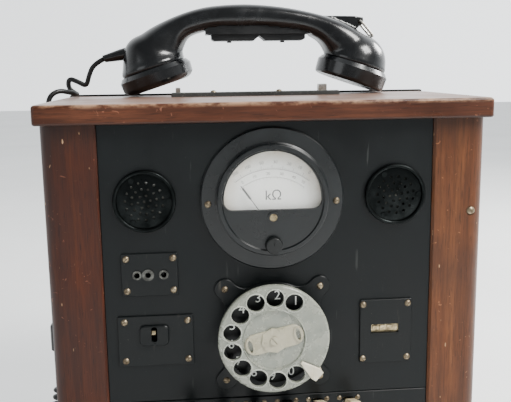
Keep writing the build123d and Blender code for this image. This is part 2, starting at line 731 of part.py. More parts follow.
wheel_back_y = wheel_front_y + wheel_thick
hub_face_y = wheel_front_y + 1.2
hole_angles = [first_hole_angle + hole_step_angle * index for index in range(10)]
with BuildPart() as finger_wheel:
    with BuildSketch(Plane(origin=(dial_x, 0, dial_z), z_dir=(0, 0, 1))):
        with BuildLine():
            Line((3.0, hub_face_y), (21.5, hub_face_y))
            Line((21.5, hub_face_y), (22.1, wheel_front_y - 0.5))
            Line((22.1, wheel_front_y - 0.5), (22.9, wheel_front_y))
            Line((22.9, wheel_front_y), (wheel_r - 1.6, wheel_front_y))
            ThreePointArc(
                (wheel_r - 1.6, wheel_front_y),
                (wheel_r - 0.4, wheel_front_y + 0.6),
                (wheel_r, wheel_front_y + 3.0),
            )
            Line((wheel_r, wheel_front_y + 3.0), (wheel_r, wheel_front_y + 5.2))
            Line((wheel_r, wheel_front_y + 5.2), (wheel_r - 1.6, wheel_front_y + 5.2))
            Line((wheel_r - 1.6, wheel_front_y + 5.2), (wheel_r - 2.6, wheel_back_y))
            Line((wheel_r - 2.6, wheel_back_y), (7.0, wheel_back_y))
            Line((7.0, wheel_back_y), (7.0, number_plate_face_y - 0.6))
            Line((7.0, number_plate_face_y - 0.6), (3.0, number_plate_face_y - 0.6))
            Line((3.0, number_plate_face_y - 0.6), (3.0, hub_face_y))
        make_face()
    revolve(axis=dial_axis)
    with BuildSketch(front_plane(dial_x, wheel_front_y, dial_z)):
        with Locations(*[polar(finger_circle_r, angle) for angle in hole_angles]):
            Circle(finger_hole_r + 0.7)
    extrude(amount=0.5)
    with BuildSketch(front_plane(dial_x, wheel_back_y + 2, dial_z)):
        with Locations(*[polar(finger_circle_r, angle) for angle in hole_angles]):
            Circle(finger_hole_r)
    extrude(amount=8, mode=Mode.SUBTRACT)
finish(finger_wheel, "finger_wheel")

clip_tilt = 13.0
clip_slot_x = 17.4
with BuildPart() as dial_hub_clip:
    with BuildSketch(front_plane(dial_x, hub_face_y, dial_z)):
        with Locations(Location((0, 0, 0), (0, 0, clip_tilt))):
            SlotOverall(43.0, 15.4)
    extrude(amount=1.1)
    chamfer(dial_hub_clip.faces().sort_by(Axis.Y)[0].edges(), 0.4)
    with BuildSketch(front_plane(dial_x, hub_face_y - 1.1, dial_z)):
        RegularPolygon(9.4, 8, rotation=clip_tilt)
    extrude(amount=0.8)
    with BuildSketch(front_plane(dial_x, hub_face_y - 1.9, dial_z)):
        Circle(2.9)
    extrude(amount=1.2)
    with BuildSketch(front_plane(dial_x, hub_face_y, dial_z)):
        with Locations(Location((0, 0, 0), (0, 0, clip_tilt))):
            with Locations((-clip_slot_x, 0), (clip_slot_x, 0)):
                Ellipse(2.9, 5.6)
    extrude(amount=1.8)
    with BuildSketch(front_plane(dial_x, hub_face_y, dial_z)):
        with Locations(Location((0, 0, 0), (0, 0, clip_tilt))):
            with Locations((-clip_slot_x, 0), (clip_slot_x, 0)):
                Ellipse(1.7, 4.5)
    extrude(amount=4, mode=Mode.SUBTRACT)
    with Locations(Location((dial_x, hub_face_y - 3.1, dial_z), (0, 48, 0))):
        Box(6.4, 1.4, 0.9, mode=Mode.SUBTRACT)
finish(dial_hub_clip, "dial_hub_clip")

stop_back_y = panel_face_y - dial_plate_thick
stop_front_y = wheel_front_y - 2.8
with BuildPart() as finger_stop:
    with BuildSketch(front_plane(dial_x, stop_front_y + 1.7, dial_z)):
        with Locations(Location((0, 0, 0), (0, 0, stop_angle))):
            Polygon(
                (25.2, -0.9), (38.5, -4.6), (42.6, -4.2), (42.6, 4.2), (38.5, 4.9), (25.2, 0.9), align=None
            )
    extrude(amount=1.7)
    with BuildSketch(front_plane(dial_x, stop_back_y, dial_z)):
        with Locations(Location((0, 0, 0), (0, 0, stop_angle))):
            with Locations((41.5, 0)):
                Rectangle(2.2, 7.6)
    extrude(amount=stop_back_y - stop_front_y)
    top_edges = finger_stop.faces().sort_by(Axis.Y)[0].edges()
    chamfer(top_edges, 0.4)
finish(finger_stop, "finger_stop")

main_gear_y = case_front_y + 6
with BuildPart() as dial_shaft:
    with BuildSketch(front_plane(dial_x, main_gear_y + 20, dial_z)):
        Circle(3.0)
    extrude(amount=main_gear_y + 20 - hub_face_y)
    with BuildSketch(front_plane(dial_x, case_back_y - 0.2, dial_z)):
        Circle(2.0)
    extrude(amount=case_back_y - 0.2 - main_gear_y - 20)
    with BuildSketch(front_plane(dial_x, main_gear_y + 3, dial_z)):
        Polygon(*gear_outline(main_teeth, main_module), align=None)
    extrude(amount=3)
finish(dial_shaft, "dial_shaft")

second_gear_y = case_back_y - 14
cam_y = case_back_y - 6
half_tooth = 180.0 / pinion_teeth
with BuildPart() as impulse_arbor:
    with BuildSketch(front_plane(dial_x + arbor_at[0], case_back_y - 0.3, dial_z + arbor_at[1])):
        Circle(arbor_r)
    extrude(amount=case_back_y - 0.3 - case_front_y + 1.3)
    with BuildSketch(front_plane(dial_x + arbor_at[0], main_gear_y + 3.2, dial_z + arbor_at[1])):
        with Locations(Location((0, 0, 0), (0, 0, half_tooth + 90))):
            Polygon(*gear_outline(pinion_teeth, main_module), align=None)
    extrude(amount=3.4)
    with BuildSketch(front_plane(dial_x + arbor_at[0], second_gear_y + 1.6, dial_z + arbor_at[1])):
        with Locations(Location((0, 0, 0), (0, 0, governor_bearing))):
            Polygon(*gear_outline(second_teeth, second_module), align=None)
    extrude(amount=1.6)
    with BuildSketch(front_plane(dial_x + arbor_at[0], cam_y, dial_z + arbor_at[1])):
        Circle(4.2)
        with PolarLocations(4.2, 3):
            Circle(1.5)
    extrude(amount=1.6)
finish(impulse_arbor, "impulse_arbor")

with BuildPart() as governor:
    with BuildSketch(front_plane(dial_x + governor_at[0], case_back_y - 0.3, dial_z + governor_at[1])):
        Circle(arbor_r)
    extrude(amount=case_back_y - 0.3 - case_front_y + 1.3)
    with BuildSketch(front_plane(dial_x + governor_at[0], second_gear_y + 1.8, dial_z + governor_at[1])):
        with Locations(Location((0, 0, 0), (0, 0, governor_bearing + 180 + 180 / governor_teeth))):
            Polygon(*gear_outline(governor_teeth, second_module), align=None)
    extrude(amount=2.0)
    with BuildSketch(front_plane(dial_x + governor_at[0], second_gear_y - 4, dial_z + governor_at[1])):
        Rectangle(7.6, 2.4)
        with Locations((-3.2, 0), (3.2, 0)):
            Circle(1.8)
    extrude(amount=4.0)
finish(governor, "governor")

spring_y = main_gear_y + 5.0
spring_turns = 4
spring_pitch = 2.4
with BuildPart() as dial_mainspring:
    with BuildSketch(front_plane(dial_x, spring_y + 4.5, dial_z)):
        with BuildLine():
            radius = 3.3
            centre = 0.0
            for half_turn in range(2 * spring_turns):
                sign = 1 if half_turn % 2 == 0 else -1
                start = centre + sign * radius
                end = centre - sign * radius
                ThreePointArc((start, 0), (centre, sign * radius), (end, 0))
                radius += spring_pitch / 4
                centre = end + sign * radius
        trace(line_width=0.5)
    extrude(amount=4.5)
finish(dial_mainspring, "dial_mainspring")

# ---------------------------------------------------------------- lever keys
pin_r = 1.2
frame_half = 6.2
for index, x in enumerate(key_x):
    with BuildPart() as key_lever:
        with BuildSketch(Plane.YZ.offset(x - lever_wide / 2)):
            with Locations(Location((key_pivot_y, key_pivot_z, 0), (0, 0, 180 - key_throw_angle))):
                with Locations((key_length - 11.5, 0)):
                    RectangleRounded(23.0, 7.6, 3.4)
        extrude(amount=lever_wide)
        fillet(key_lever.edges(), 0.9)
        with BuildSketch(Plane.YZ.offset(x - 1.5)):
            with Locations(Location((key_pivot_y, key_pivot_z, 0), (0, 0, 180 - key_throw_angle))):
                Circle(3.4)
                with Locations((10.0, 0)):
                    Rectangle(20.0, 5.0)
                with Locations((-4.0, 0)):
                    Rectangle(8.0, 4.0)
        extrude(amount=3.0)
        with BuildSketch(Plane.YZ.offset(x - 5)):
            with Locations((key_pivot_y, key_pivot_z)):
                Circle(pin_r + running_gap)
        extrude(amount=10, mode=Mode.SUBTRACT)
    finish(key_lever, f"key_lever_{index + 1}")

frame_front_y = panel_back_y
with BuildPart() as key_frames:
    for x in key_x:
        for side in (-1, 1):
            with Locations((x + side * frame_half, frame_front_y + 17, key_pivot_z - 4)):
                Box(1.2, 34, 30)
        with Locations((x, frame_front_y + 33.4, key_pivot_z - 4)):
            Box(2 * frame_half, 1.2, 30)
        with BuildSketch(Plane.YZ.offset(x - frame_half)):
            with Locations((key_pivot_y, key_pivot_z)):
                Circle(pin_r)
        extrude(amount=2 * frame_half)
        for blade in (-3.6, -1.2, 1.2, 3.6):
            with Locations((x + blade, frame_front_y + 37, key_pivot_z - 12 + blade)):
                Box(0.5, 8, 12)
finish(key_frames, "key_frames")

# ---------------------------------------------------------------- small screws, all alike
small_screw = slotted_screw(2.5, 1.5, screw_shank_r, screw_shank_length, 0.6)
with BuildPart() as small_screws:
    for places, seat_y in (
        (plate_screws, panel_face_y - plate_thick),
        (dial_screws, panel_face_y - dial_plate_thick),
        (meter_screws, flange_front_y),
    ):
        for number, (x, z) in enumerate(places):
            with Locations(front_plane(x, seat_y, z) * Location((0, 0, 0), (0, 0, 37 * number))):
                add(small_screw)
    with Locations(*[(x, hook_bar_y, lid_top + hook_bar_thick) for x in bar_screw_x]):
        add(small_screw)
finish(small_screws, "small_screws")

key_screw = slotted_screw(1.9, 1.0, screw_shank_r, 3.0, 0.5)
with BuildPart() as key_screw_set:
    for number, (x, z) in enumerate(key_screws):
        with Locations(front_plane(x, panel_face_y, z) * Location((0, 0, 0), (0, 0, 53 * number))):
            add(key_screw)
finish(key_screw_set, "key_screws")

# ---------------------------------------------------------------- hook bar and its two plungers
bar_left_x = -69.0
bar_right_x = 72.0
bar_depth = 10.0
with BuildPart() as hook_bar:
    with Locations(((bar_left_x + bar_right_x) / 2, hook_bar_y, lid_top + hook_bar_thick / 2)):
        Box(bar_right_x - bar_left_x, bar_depth, hook_bar_thick)
    fillet(hook_bar.edges().filter_by(Axis.Z), 1.5)
    chamfer(hook_bar.edges().group_by(Axis.Z)[-1], 0.7)
    for plunger in (plunger_left, plunger_right):
        with Locations((plunger["x"], hook_bar_y, lid_top)):
            Box(
                plunger["wide"] + 2 * running_gap,
                plunger["deep"] + 2 * running_gap,
                20,
                mode=Mode.SUBTRACT,
            )
    with Locations(*[(x, hook_bar_y, lid_top) for x in bar_screw_x]):
        Cylinder(screw_shank_r + running_gap, 20, mode=Mode.SUBTRACT)
finish(hook_bar, "hook_bar")

for name, plunger in (("left", plunger_left), ("right", plunger_right)):
    with BuildPart() as hook_plunger:
        top_z = lid_top + hook_bar_thick + plunger["rise"]
        bottom_z = body_top - 12.0
        with Locations((plunger["x"], hook_bar_y, (top_z + bottom_z) / 2)):
            Box(plunger["wide"], plunger["deep"], top_z - bottom_z)
        chamfer(hook_plunger.edges().group_by(Axis.Z)[-1], 0.5)
        with Locations((plunger["x"], hook_bar_y, body_top - 1.5 - free_gap)):
            Box(plunger["wide"] + 5, plunger["deep"] + 5, 3.0)
    finish(hook_plunger, f"hook_plunger_{name}")

# ---------------------------------------------------------------- handset
handset_side = front_plane(0, handset_y, lid_top)


def head_plane(x, height, tilt):
    """A plane through a head's axis: x runs out along the cap's face and y up the head's axis."""
    direction = (cos(radians(tilt)), 0, -sin(radians(tilt)))
    return Plane(origin=(x, handset_y, lid_top + height), x_dir=direction, z_dir=(0, -1, 0))


def head_axis(plane):
    """The head's own axis, from the middle of the cap's face up into the handle."""
    return Axis(plane.origin, plane.y_dir)


ear_plane = head_plane(86.6, 9.6, ear_tilt)
mouth_plane = head_plane(-79.0, 8.2, mouth_tilt)
neck_r = 26.4
neck_start = 9.5
cap_top = 15.9
pocket_r = 24.5

# bow of the grip: top point and bottom point of each section, with its width
grip_sections = [
    ((-104.0, 41.5), (-61.4, 34.0), 43.0),
    ((-95.5, 51.0), (-57.6, 41.5), 39.0),
    ((-84.4, 58.2), (-55.0, 47.0), 34.5),
    ((-65.0, 67.0), (-49.5, 51.4), 31.0),
    ((-44.5, 73.4), (-38.0, 54.6), 29.5),
    ((-24.7, 76.2), (-21.5, 55.9), 29.0),
    ((-2.0, 76.8), (-1.0, 56.1), 29.0),
    ((20.0, 75.2), (18.5, 55.4), 29.0),
    ((42.0, 71.8), (38.0, 53.6), 29.5),
    ((60.0, 67.6), (52.5, 49.8), 31.0),
    ((76.0, 62.4), (61.5, 43.6), 36.0),
    ((94.0, 54.0), (65.8, 36.0), 41.0),
    ((106.0, 45.0), (71.5, 33.5), 44.0),
]

housing_left = -39.0
housing_right = 52.0
housing_half = 11.0
housing_bottom = 51.5
housing_top = 60.4
bracket_pin = (96.4, 62.0)

with BuildPart() as handset_handle:
    for top, bottom, width in grip_sections:
        across = Vector(top[0] - bottom[0], 0, top[1] - bottom[1])
        height = across.length
        middle = (
            (top[0] + bottom[0]) / 2,
            handset_y,
            lid_top + (top[1] + bottom[1]) / 2,
        )
        section = Plane(origin=middle, x_dir=(0, 1, 0), z_dir=Vector(0, 1, 0).cross(across.normalized()))
        with BuildSketch(section):
            RectangleRounded(width, height, 0.44 * height)
    loft()
    with BuildSketch(ear_plane):
        with BuildLine():
            Line((0, neck_start), (neck_r, neck_start))
            Line((neck_r, neck_start), (neck_r, cap_top + free_gap))
            Line((neck_r, cap_top + free_gap), (28.6, cap_top + free_gap))
            Line((28.6, cap_top + free_gap), (28.4, 19.6))
            Line((28.4, 19.6), (27.4, 20.4))
            ThreePointArc((27.4, 20.4), (19.5, 36.6), (0, 42.9))
            Line((0, 42.9), (0, neck_start))
        make_face()
    revolve(axis=head_axis(ear_plane))
    with BuildSketch(mouth_plane):
        with BuildLine():
            Line((0, neck_start), (neck_r, neck_start))
            Line((neck_r, neck_start), (neck_r, cap_top + free_gap))
            Line((neck_r, cap_top + free_gap), (28.6, cap_top + free_gap))
            Line((28.6, cap_top + free_gap), (28.2, 20.2))
            Line((28.2, 20.2), (26.8, 21.2))
            ThreePointArc((26.8, 21.2), (22.6, 31.0), (18.5, 39.0))
            ThreePointArc((18.5, 39.0), (12.0, 44.6), (0, 46.0))
            Line((0, 46.0), (0, neck_start))
        make_face()
    revolve(axis=head_axis(mouth_plane))
    with BuildSketch(handset_side):
        Polygon(
            (58, 67.2),
            (92, 66.4),
            (99.2, 65.2),
            (100.2, 60.2),
            (96, 57.6),
            (88, 50),
            (66, 50),
            align=None,
        )
    extrude(amount=2.5, both=True)
    for plane in (ear_plane, mouth_plane):
        with BuildSketch(Plane(origin=plane.origin, x_dir=(0, 1, 0), z_dir=plane.y_dir)):
            Circle(pocket_r)
        extrude(amount=24.5, mode=Mode.SUBTRACT)
    with BuildSketch(handset_side):
        with Locations(((housing_left + housing_right) / 2, (housing_bottom + housing_top) / 2 - 5)):
            Rectangle(housing_right - housing_left, housing_top - housing_bottom + 10)
    extrude(amount=housing_half, both=True, mode=Mode.SUBTRACT)
    with BuildSketch(handset_side):
        with Locations(bracket_pin):
            Circle(ring_wire_r + 0.08)
    extrude(amount=12, both=True, mode=Mode.SUBTRACT)
finish(handset_handle, "handset_handle")

for name, plane, face_r, chamfer_rise in (("ear_cap", ear_plane, 28.2, 3.0), ("mouth_cap", mouth_plane, 24.0, 4.6)):
    with BuildPart() as cap:
        with BuildSketch(plane):
            with BuildLine():
                Line((0, 0), (face_r, 0))
                ThreePointArc(
                    (face_r, 0),
                    ((face_r + cap_r) / 2 + 0.5, chamfer_rise * 0.34),
                    (cap_r - 0.5, chamfer_rise),
                )
                Line((cap_r - 0.5, chamfer_rise), (cap_r, 12.2))
                Line((cap_r, 12.2), (29.2, cap_top))
                Line((29.2, cap_top), (neck_r + free_gap, cap_top))
                Line((neck_r + free_gap, cap_top), (neck_r + free_gap, 6.6))
                Line((neck_r + free_gap, 6.6), (22.0, 2.6))
                Line((22.0, 2.6), (0, 2.6))
                Line((0, 2.6), (0, 0))
            make_face()
        revolve(axis=head_axis(plane))
        with BuildSketch(Plane(origin=plane.origin, x_dir=(0, 1, 0), z_dir=plane.y_dir)):
            Circle(1.4)
            for ring_r, count in ((7.0, 6), (14.0, 12)):
                with PolarLocations(ring_r, count):
                    Circle(1.4)
        extrude(amount=4, mode=Mode.SUBTRACT)
    finish(cap, name)

with BuildPart() as handset_capsules:
    for plane in (ear_plane, mouth_plane):
        base = Plane(origin=plane.origin, x_dir=(0, 1, 0), z_dir=plane.y_dir)
        with BuildSketch(base.offset(3.2)):
            Circle(21.0)
        extrude(amount=5.0)
        with BuildSketch(base.offset(7.0)):
            Circle(23.8)
        extrude(amount=9.0)
        with BuildSketch(base.offset(16.0)):
            Circle(7.0)
        extrude(amount=4.0)
finish(handset_capsules, "handset_capsules")

relief_start = (-100.0, 38.2)
relief_tip = (-126.4, 32.2)
lead_route = [
    (relief_tip[0], handset_y, lid_top + relief_tip[1]),
    (-135.5, 68.2, 328.0),
    (-140.2, 68.6, 317.5),
    (-142.4, 69.4, 309.2),
    (-149.3, 70.2, 313.0),
    (-157.6, 71.0, 316.6),
    (-158.6, 72.6, 307.6),
    (-151.8, 73.8, 302.6),
    (-150.0, 64.0, 303.0),
    (-154.4, 54.6, 304.6),
    (-163.0, 48.6, 306.6),
    (-170.6, 44.6, 301.6),
    (-171.6, 42.0, 288.0),
    (-170.2, 42.4, 272.0),
]
relief_direction = Vector(relief_tip[0] - relief_start[0], 0, relief_tip[1] - relief_start[1])
with BuildPart() as cord_relief:
    relief_base = Plane(
        origin=(relief_start[0], handset_y, lid_top + relief_start[1]),
        x_dir=(0, 1, 0),
        z_dir=relief_direction.normalized(),
    )
    with BuildSketch(relief_base):
        Circle(5.6)
    with BuildSketch(relief_base.offset(0.45 * relief_direction.length)):
        Circle(5.0)
    lead_direction = Vector(*lead_route[1]) - Vector(*lead_route[0])
    with BuildSketch(Plane(origin=lead_route[0], x_dir=(0, 1, 0), z_dir=lead_direction.normalized())):
        Circle(3.2)
    loft(ruled=True)
    add(handset_handle.part, mode=Mode.SUBTRACT)
    add(handset_capsules.part, mode=Mode.SUBTRACT)
finish(cord_relief, "cord_relief")

guide_x = (-18.3, 28.1)
guide_r = 1.3
with BuildPart() as talk_bar_housing:
    with BuildSketch(handset_side):
        with Locations(((housing_left + housing_right) / 2, (housing_bottom + housing_top) / 2)):
            Rectangle(housing_right - housing_left - 0.2, housing_top - housing_bottom - 0.1)
    extrude(amount=housing_half - 0.1, both=True)
    with BuildSketch(handset_side):
        with Locations(((housing_left + housing_right) / 2, housing_bottom)):
            Rectangle(housing_right - housing_left - 5, 14.0)
    extrude(amount=9.0, both=True, mode=Mode.SUBTRACT)
    for x in guide_x:
        with BuildSketch(Plane.XY.offset(lid_top + talk_bar_drop - 1.4)):
            with Locations((x, handset_y)):
                Circle(2.0)
        extrude(amount=1.1)
        with BuildSketch(Plane.XY.offset(lid_top + talk_bar_drop - 0.4)):
            with Locations((x, handset_y)):
                Circle(guide_r)
        extrude(amount=housing_top - 1.0 - talk_bar_drop)
finish(talk_bar_housing, "talk_bar_housing")

bar_left = -34.0
bar_right = 47.0
bar_top = 55.5
notch_x = 7.5
with BuildPart() as talk_bar:
    with BuildSketch(handset_side):
        Polygon(
            (bar_left, bar_top),
            (bar_left, talk_bar_drop + 1.5),
            (bar_left + 2.5, talk_bar_drop),
            (notch_x - 5.0, talk_bar_drop),
            (notch_x, talk_bar_drop + 4.2),
            (notch_x + 5.0, talk_bar_drop),
            (bar_right - 2.5, talk_bar_drop),
            (bar_right, talk_bar_drop + 1.5),
            (bar_right, bar_top),
            align=None,
        )
    extrude(amount=8.6, both=True)
    for x in guide_x:
        with Locations((x, handset_y, lid_top + bar_top)):
            Cylinder(guide_r + running_gap, 40, mode=Mode.SUBTRACT)
finish(talk_bar, "talk_bar")

ring_direction = Vector(0.655, 0, -0.756)
ring_length = 17.2
ring_half = 6.6
with BuildPart() as hanging_ring:
    ring_origin = (bracket_pin[0], handset_y, lid_top + bracket_pin[1])
    ring_plane = Plane(origin=ring_origin, x_dir=(0, 1, 0), z_dir=Vector(0, 1, 0).cross(ring_direction))
    with BuildLine(ring_plane) as ring_path:
        FilletPolyline(
            (ring_half, 0),
            (ring_half - 1.5, ring_length),
            (-ring_half + 1.5, ring_length),
            (-ring_half, 0),
            close=True,
            radius=2.6,
        )
    with BuildSketch(Plane(origin=ring_path.line @ 0, z_dir=ring_path.line % 0)):
        Circle(ring_wire_r)
    sweep(path=ring_path.line)
finish(hanging_ring, "hanging_ring")

# ---------------------------------------------------------------- cord: gland, lead and curly part
gland_y = -1.5
gland_x = -half_body - 7.7
gland_top = 122.0
gland_bottom = 100.0
nozzle_end = 88.0
with BuildPart() as cord_gland:
    with Locations((-half_body - 7.0, gland_y, (gland_top + gland_bottom) / 2)):
        Box(14.0, 17.0, gland_top - gland_bottom)
    fillet(cord_gland.edges().filter_by(Axis.Z).group_by(Axis.X)[0], 5.0)
    fillet(cord_gland.faces().sort_by(Axis.Z)[-1].edges().sort_by(Axis.X)[:-1], 3.0)
    with BuildSketch(Plane.XY.offset(gland_bottom)):
        with Locations((gland_x, gland_y)):
            Circle(5.2)
    extrude(amount=nozzle_end - gland_bottom, taper=8)
finish(cord_gland, "cord_gland")

coil_route = [
    (-170.2, 42.4, 271.6),
    (-170.0, 41.2, 230.0),
    (-171.2, 42.4, 184.0),
    (-169.6, 41.4, 138.0),
    (-170.4, 42.2, 94.0),
    (-171.2, 41.2, 56.0),
    (-171.0, 41.8, 25.1),
    (-171.4, 28.9, 12.5),
    (-171.6, 11.1, 12.4),
    (-171.2, -1.2, 25.0),
    (-170.0, -1.9, 44.0),
    (gland_x, gland_y, 67.0),
    (gland_x, gland_y, nozzle_end - 0.1),
]


def route_radii(points):
    """The largest tangent arc at each corner: 0.45 of the shorter run over the tangent of half the turn."""
    radii = []
    for before, corner, after in zip(points, points[1:], points[2:]):
        first = Vector(*corner) - Vector(*before)
        second = Vector(*after) - Vector(*corner)
        half_turn = radians(first.get_angle(second)) / 2
        shorter = min(first.length, second.length)
        radii.append(0.45 * shorter * cos(half_turn) / sin(half_turn))
    return radii


for name, route, tube_r in (("cord_lead", lead_route, cord_r), ("cord_coil", coil_route, coil_r)):
    with BuildPart() as tube:
        radii = route_radii(route)
        with BuildLine() as path:
            FilletPolyline(*route, radius=radii)
        start = Vector(*route[1]) - Vector(*route[0])
        with BuildSketch(Plane(origin=route[0], z_dir=start.normalized())):
            Circle(tube_r)
        sweep(path=path.line)
    length = sum(edge.length for edge in path.edges())
    print(name, "length", round(length, 1), "radii", [round(r, 1) for r in radii])
    print(name, "volume over section times length", round(tube.part.volume / (pi * tube_r**2 * length), 4))
    finish(tube, name)
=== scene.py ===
"""Looks of the telephone test set: worn wooden cabinet, black panel, dial, meter and handset.

Metres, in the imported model's own frame: +X viewer's right, +Y back, +Z up.
"""

from math import cos, pi, radians, sin

import bpy
from mathutils import Matrix, Vector


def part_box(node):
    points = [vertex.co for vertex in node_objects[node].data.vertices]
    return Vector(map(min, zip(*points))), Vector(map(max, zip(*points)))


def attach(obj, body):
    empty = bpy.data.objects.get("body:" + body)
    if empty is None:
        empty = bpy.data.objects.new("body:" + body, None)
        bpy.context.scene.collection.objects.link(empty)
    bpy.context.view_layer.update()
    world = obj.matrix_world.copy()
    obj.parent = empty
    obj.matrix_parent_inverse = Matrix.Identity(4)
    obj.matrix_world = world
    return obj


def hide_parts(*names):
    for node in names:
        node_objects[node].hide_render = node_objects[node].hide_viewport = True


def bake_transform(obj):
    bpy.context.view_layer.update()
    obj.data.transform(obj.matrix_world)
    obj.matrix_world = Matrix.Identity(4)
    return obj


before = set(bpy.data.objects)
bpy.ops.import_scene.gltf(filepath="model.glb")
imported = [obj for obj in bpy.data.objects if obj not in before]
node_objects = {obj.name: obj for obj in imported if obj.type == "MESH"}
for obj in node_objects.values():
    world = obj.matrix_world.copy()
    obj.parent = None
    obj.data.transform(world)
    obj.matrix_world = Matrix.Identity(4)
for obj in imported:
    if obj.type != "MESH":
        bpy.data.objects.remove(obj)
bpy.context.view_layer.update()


def centre_of(node):
    """Middle of a CAD node's box."""
    low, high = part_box(node)
    return Vector([(a + b) / 2 for a, b in zip(low, high)])


# ---------------------------------------------------------------- camera
camera_data = bpy.data.cameras.new("camera")
camera_data.sensor_width = 36.0
camera_data.lens = 51.64
camera_data.clip_start = 0.01
camera = bpy.data.objects.new("camera", camera_data)
right_axis = Vector((0.99606, -0.08765, -0.01405))
up_axis = Vector((0.02921, 0.17396, 0.98429))
back_axis = Vector((-0.08383, -0.98086, 0.17602))
camera.matrix_world = Matrix(
    (
        (right_axis.x, up_axis.x, back_axis.x, -0.05295),
        (right_axis.y, up_axis.y, back_axis.y, -0.5829),
        (right_axis.z, up_axis.z, back_axis.z, 0.3211),
        (0, 0, 0, 1),
    )
)
bpy.context.scene.collection.objects.link(camera)
bpy.context.scene.camera = camera


# ---------------------------------------------------------------- mesh helpers
def new_mesh(name, vertices, faces, body, smooth=True):
    """A mesh object that rides on a body."""
    mesh = bpy.data.meshes.new(name)
    mesh.from_pydata([tuple(v) for v in vertices], [], faces)
    mesh.update()
    for polygon in mesh.polygons:
        polygon.use_smooth = smooth
    piece = bpy.data.objects.new(name, mesh)
    bpy.context.scene.collection.objects.link(piece)
    if body:
        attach(piece, body)
    return piece


def sweep_tube(path, radius, sides=10):
    """Vertices and faces of a closed round tube along a list of points."""
    vertices = []
    faces = []
    tangent = (path[1] - path[0]).normalized()
    across = tangent.orthogonal().normalized()
    for index, point in enumerate(path):
        ahead = path[min(index + 1, len(path) - 1)]
        behind = path[max(index - 1, 0)]
        tangent = (ahead - behind).normalized()
        across = (across - tangent * across.dot(tangent)).normalized()
        other = tangent.cross(across)
        for side in range(sides):
            angle = 2 * pi * side / sides
            vertices.append(point + (across * cos(angle) + other * sin(angle)) * radius)
    for ring in range(len(path) - 1):
        for side in range(sides):
            following = (side + 1) % sides
            a = ring * sides
            b = a + sides
            faces.append((a + side, a + following, b + following, b + side))
    faces.append(tuple(reversed(range(sides))))
    last = (len(path) - 1) * sides
    faces.append(tuple(range(last, last + sides)))
    return vertices, faces


def text_mesh(words, size, x, z, y, depth=0.00006, turn=0.0):
    """Vertices and faces of flat upright lettering centred on (x, z) and facing -Y at depth y."""
    curve = bpy.data.curves.new("lettering", "FONT")
    curve.body = words
    curve.size = size
    curve.align_x = "CENTER"
    curve.align_y = "CENTER"
    curve.extrude = depth
    curve.resolution_u = 6
    holder = bpy.data.objects.new("lettering", curve)
    bpy.context.scene.collection.objects.link(holder)
    bpy.context.view_layer.update()
    graph = bpy.context.evaluated_depsgraph_get()
    mesh = bpy.data.meshes.new_from_object(holder.evaluated_get(graph))
    points = [v.co.copy() for v in mesh.vertices]
    low_x = min(p.x for p in points)
    high_x = max(p.x for p in points)
    low_y = min(p.y for p in points)
    high_y = max(p.y for p in points)
    vertices = []
    for p in points:
        u = p.x - (low_x + high_x) / 2
        v = p.y - (low_y + high_y) / 2
        vertices.append(
            Vector((x + u * cos(turn) - v * sin(turn), y - p.z, z + u * sin(turn) + v * cos(turn)))
        )
    faces = [tuple(p.vertices) for p in mesh.polygons]
    bpy.data.objects.remove(holder)
    bpy.data.curves.remove(curve)
    bpy.data.meshes.remove(mesh)
    return vertices, faces


def joined(parts):
    """One list of vertices and one of faces from several."""
    vertices = []
    faces = []
    for more_vertices, more_faces in parts:
        start = len(vertices)
        vertices.extend(more_vertices)
        faces.extend([tuple(start + i for i in face) for face in more_faces])
    return vertices, faces


def bar_mesh(x0, z0, x1, z1, width, y, depth=0.00008):
    """A thin flat bar between two points of a plane that faces -Y."""
    along = Vector((x1 - x0, 0, z1 - z0))
    side = Vector((-along.z, 0, along.x)).normalized() * width / 2
    a = Vector((x0, y, z0))
    b = Vector((x1, y, z1))
    lift = Vector((0, -depth, 0))
    corners = [a - side, b - side, b + side, a + side]
    vertices = corners + [c + lift for c in corners]
    faces = [(0, 1, 2, 3), (7, 6, 5, 4), (0, 4, 5, 1), (1, 5, 6, 2), (2, 6, 7, 3), (3, 7, 4, 0)]
    return vertices, faces


# ---------------------------------------------------------------- the handset's cord
cord_radius = 0.0021
helix_radius = 0.0044
relief_tip = (-0.1264, 0.0682, 0.3322)
gland_mouth = (-0.1652, -0.0015, 0.0879)
lead_route = [
    relief_tip,
    (-0.1355, 0.0682, 0.3280),
    (-0.1402, 0.0686, 0.3175),
    (-0.1424, 0.0694, 0.3092),
    (-0.1493, 0.0702, 0.3130),
    (-0.1576, 0.0710, 0.3166),
    (-0.1586, 0.0726, 0.3076),
    (-0.1518, 0.0738, 0.3026),
    (-0.1500, 0.0640, 0.3030),
    (-0.1544, 0.0546, 0.3046),
    (-0.1630, 0.0486, 0.3066),
    (-0.1706, 0.0446, 0.3016),
    (-0.1716, 0.0420, 0.2880),
]
coil_route = [
    (-0.1702, 0.0424, 0.2720),
    (-0.1700, 0.0412, 0.2300),
    (-0.1712, 0.0424, 0.1840),
    (-0.1696, 0.0414, 0.1380),
    (-0.1704, 0.0422, 0.0940),
    (-0.1712, 0.0412, 0.0560),
    (-0.1710, 0.0418, 0.0251),
    (-0.1714, 0.0289, 0.0125),
    (-0.1716, 0.0111, 0.0124),
    (-0.1712, -0.0012, 0.0250),
    (-0.1700, -0.0019, 0.0440),
    (-0.1652, -0.0015, 0.0670),
    gland_mouth,
]


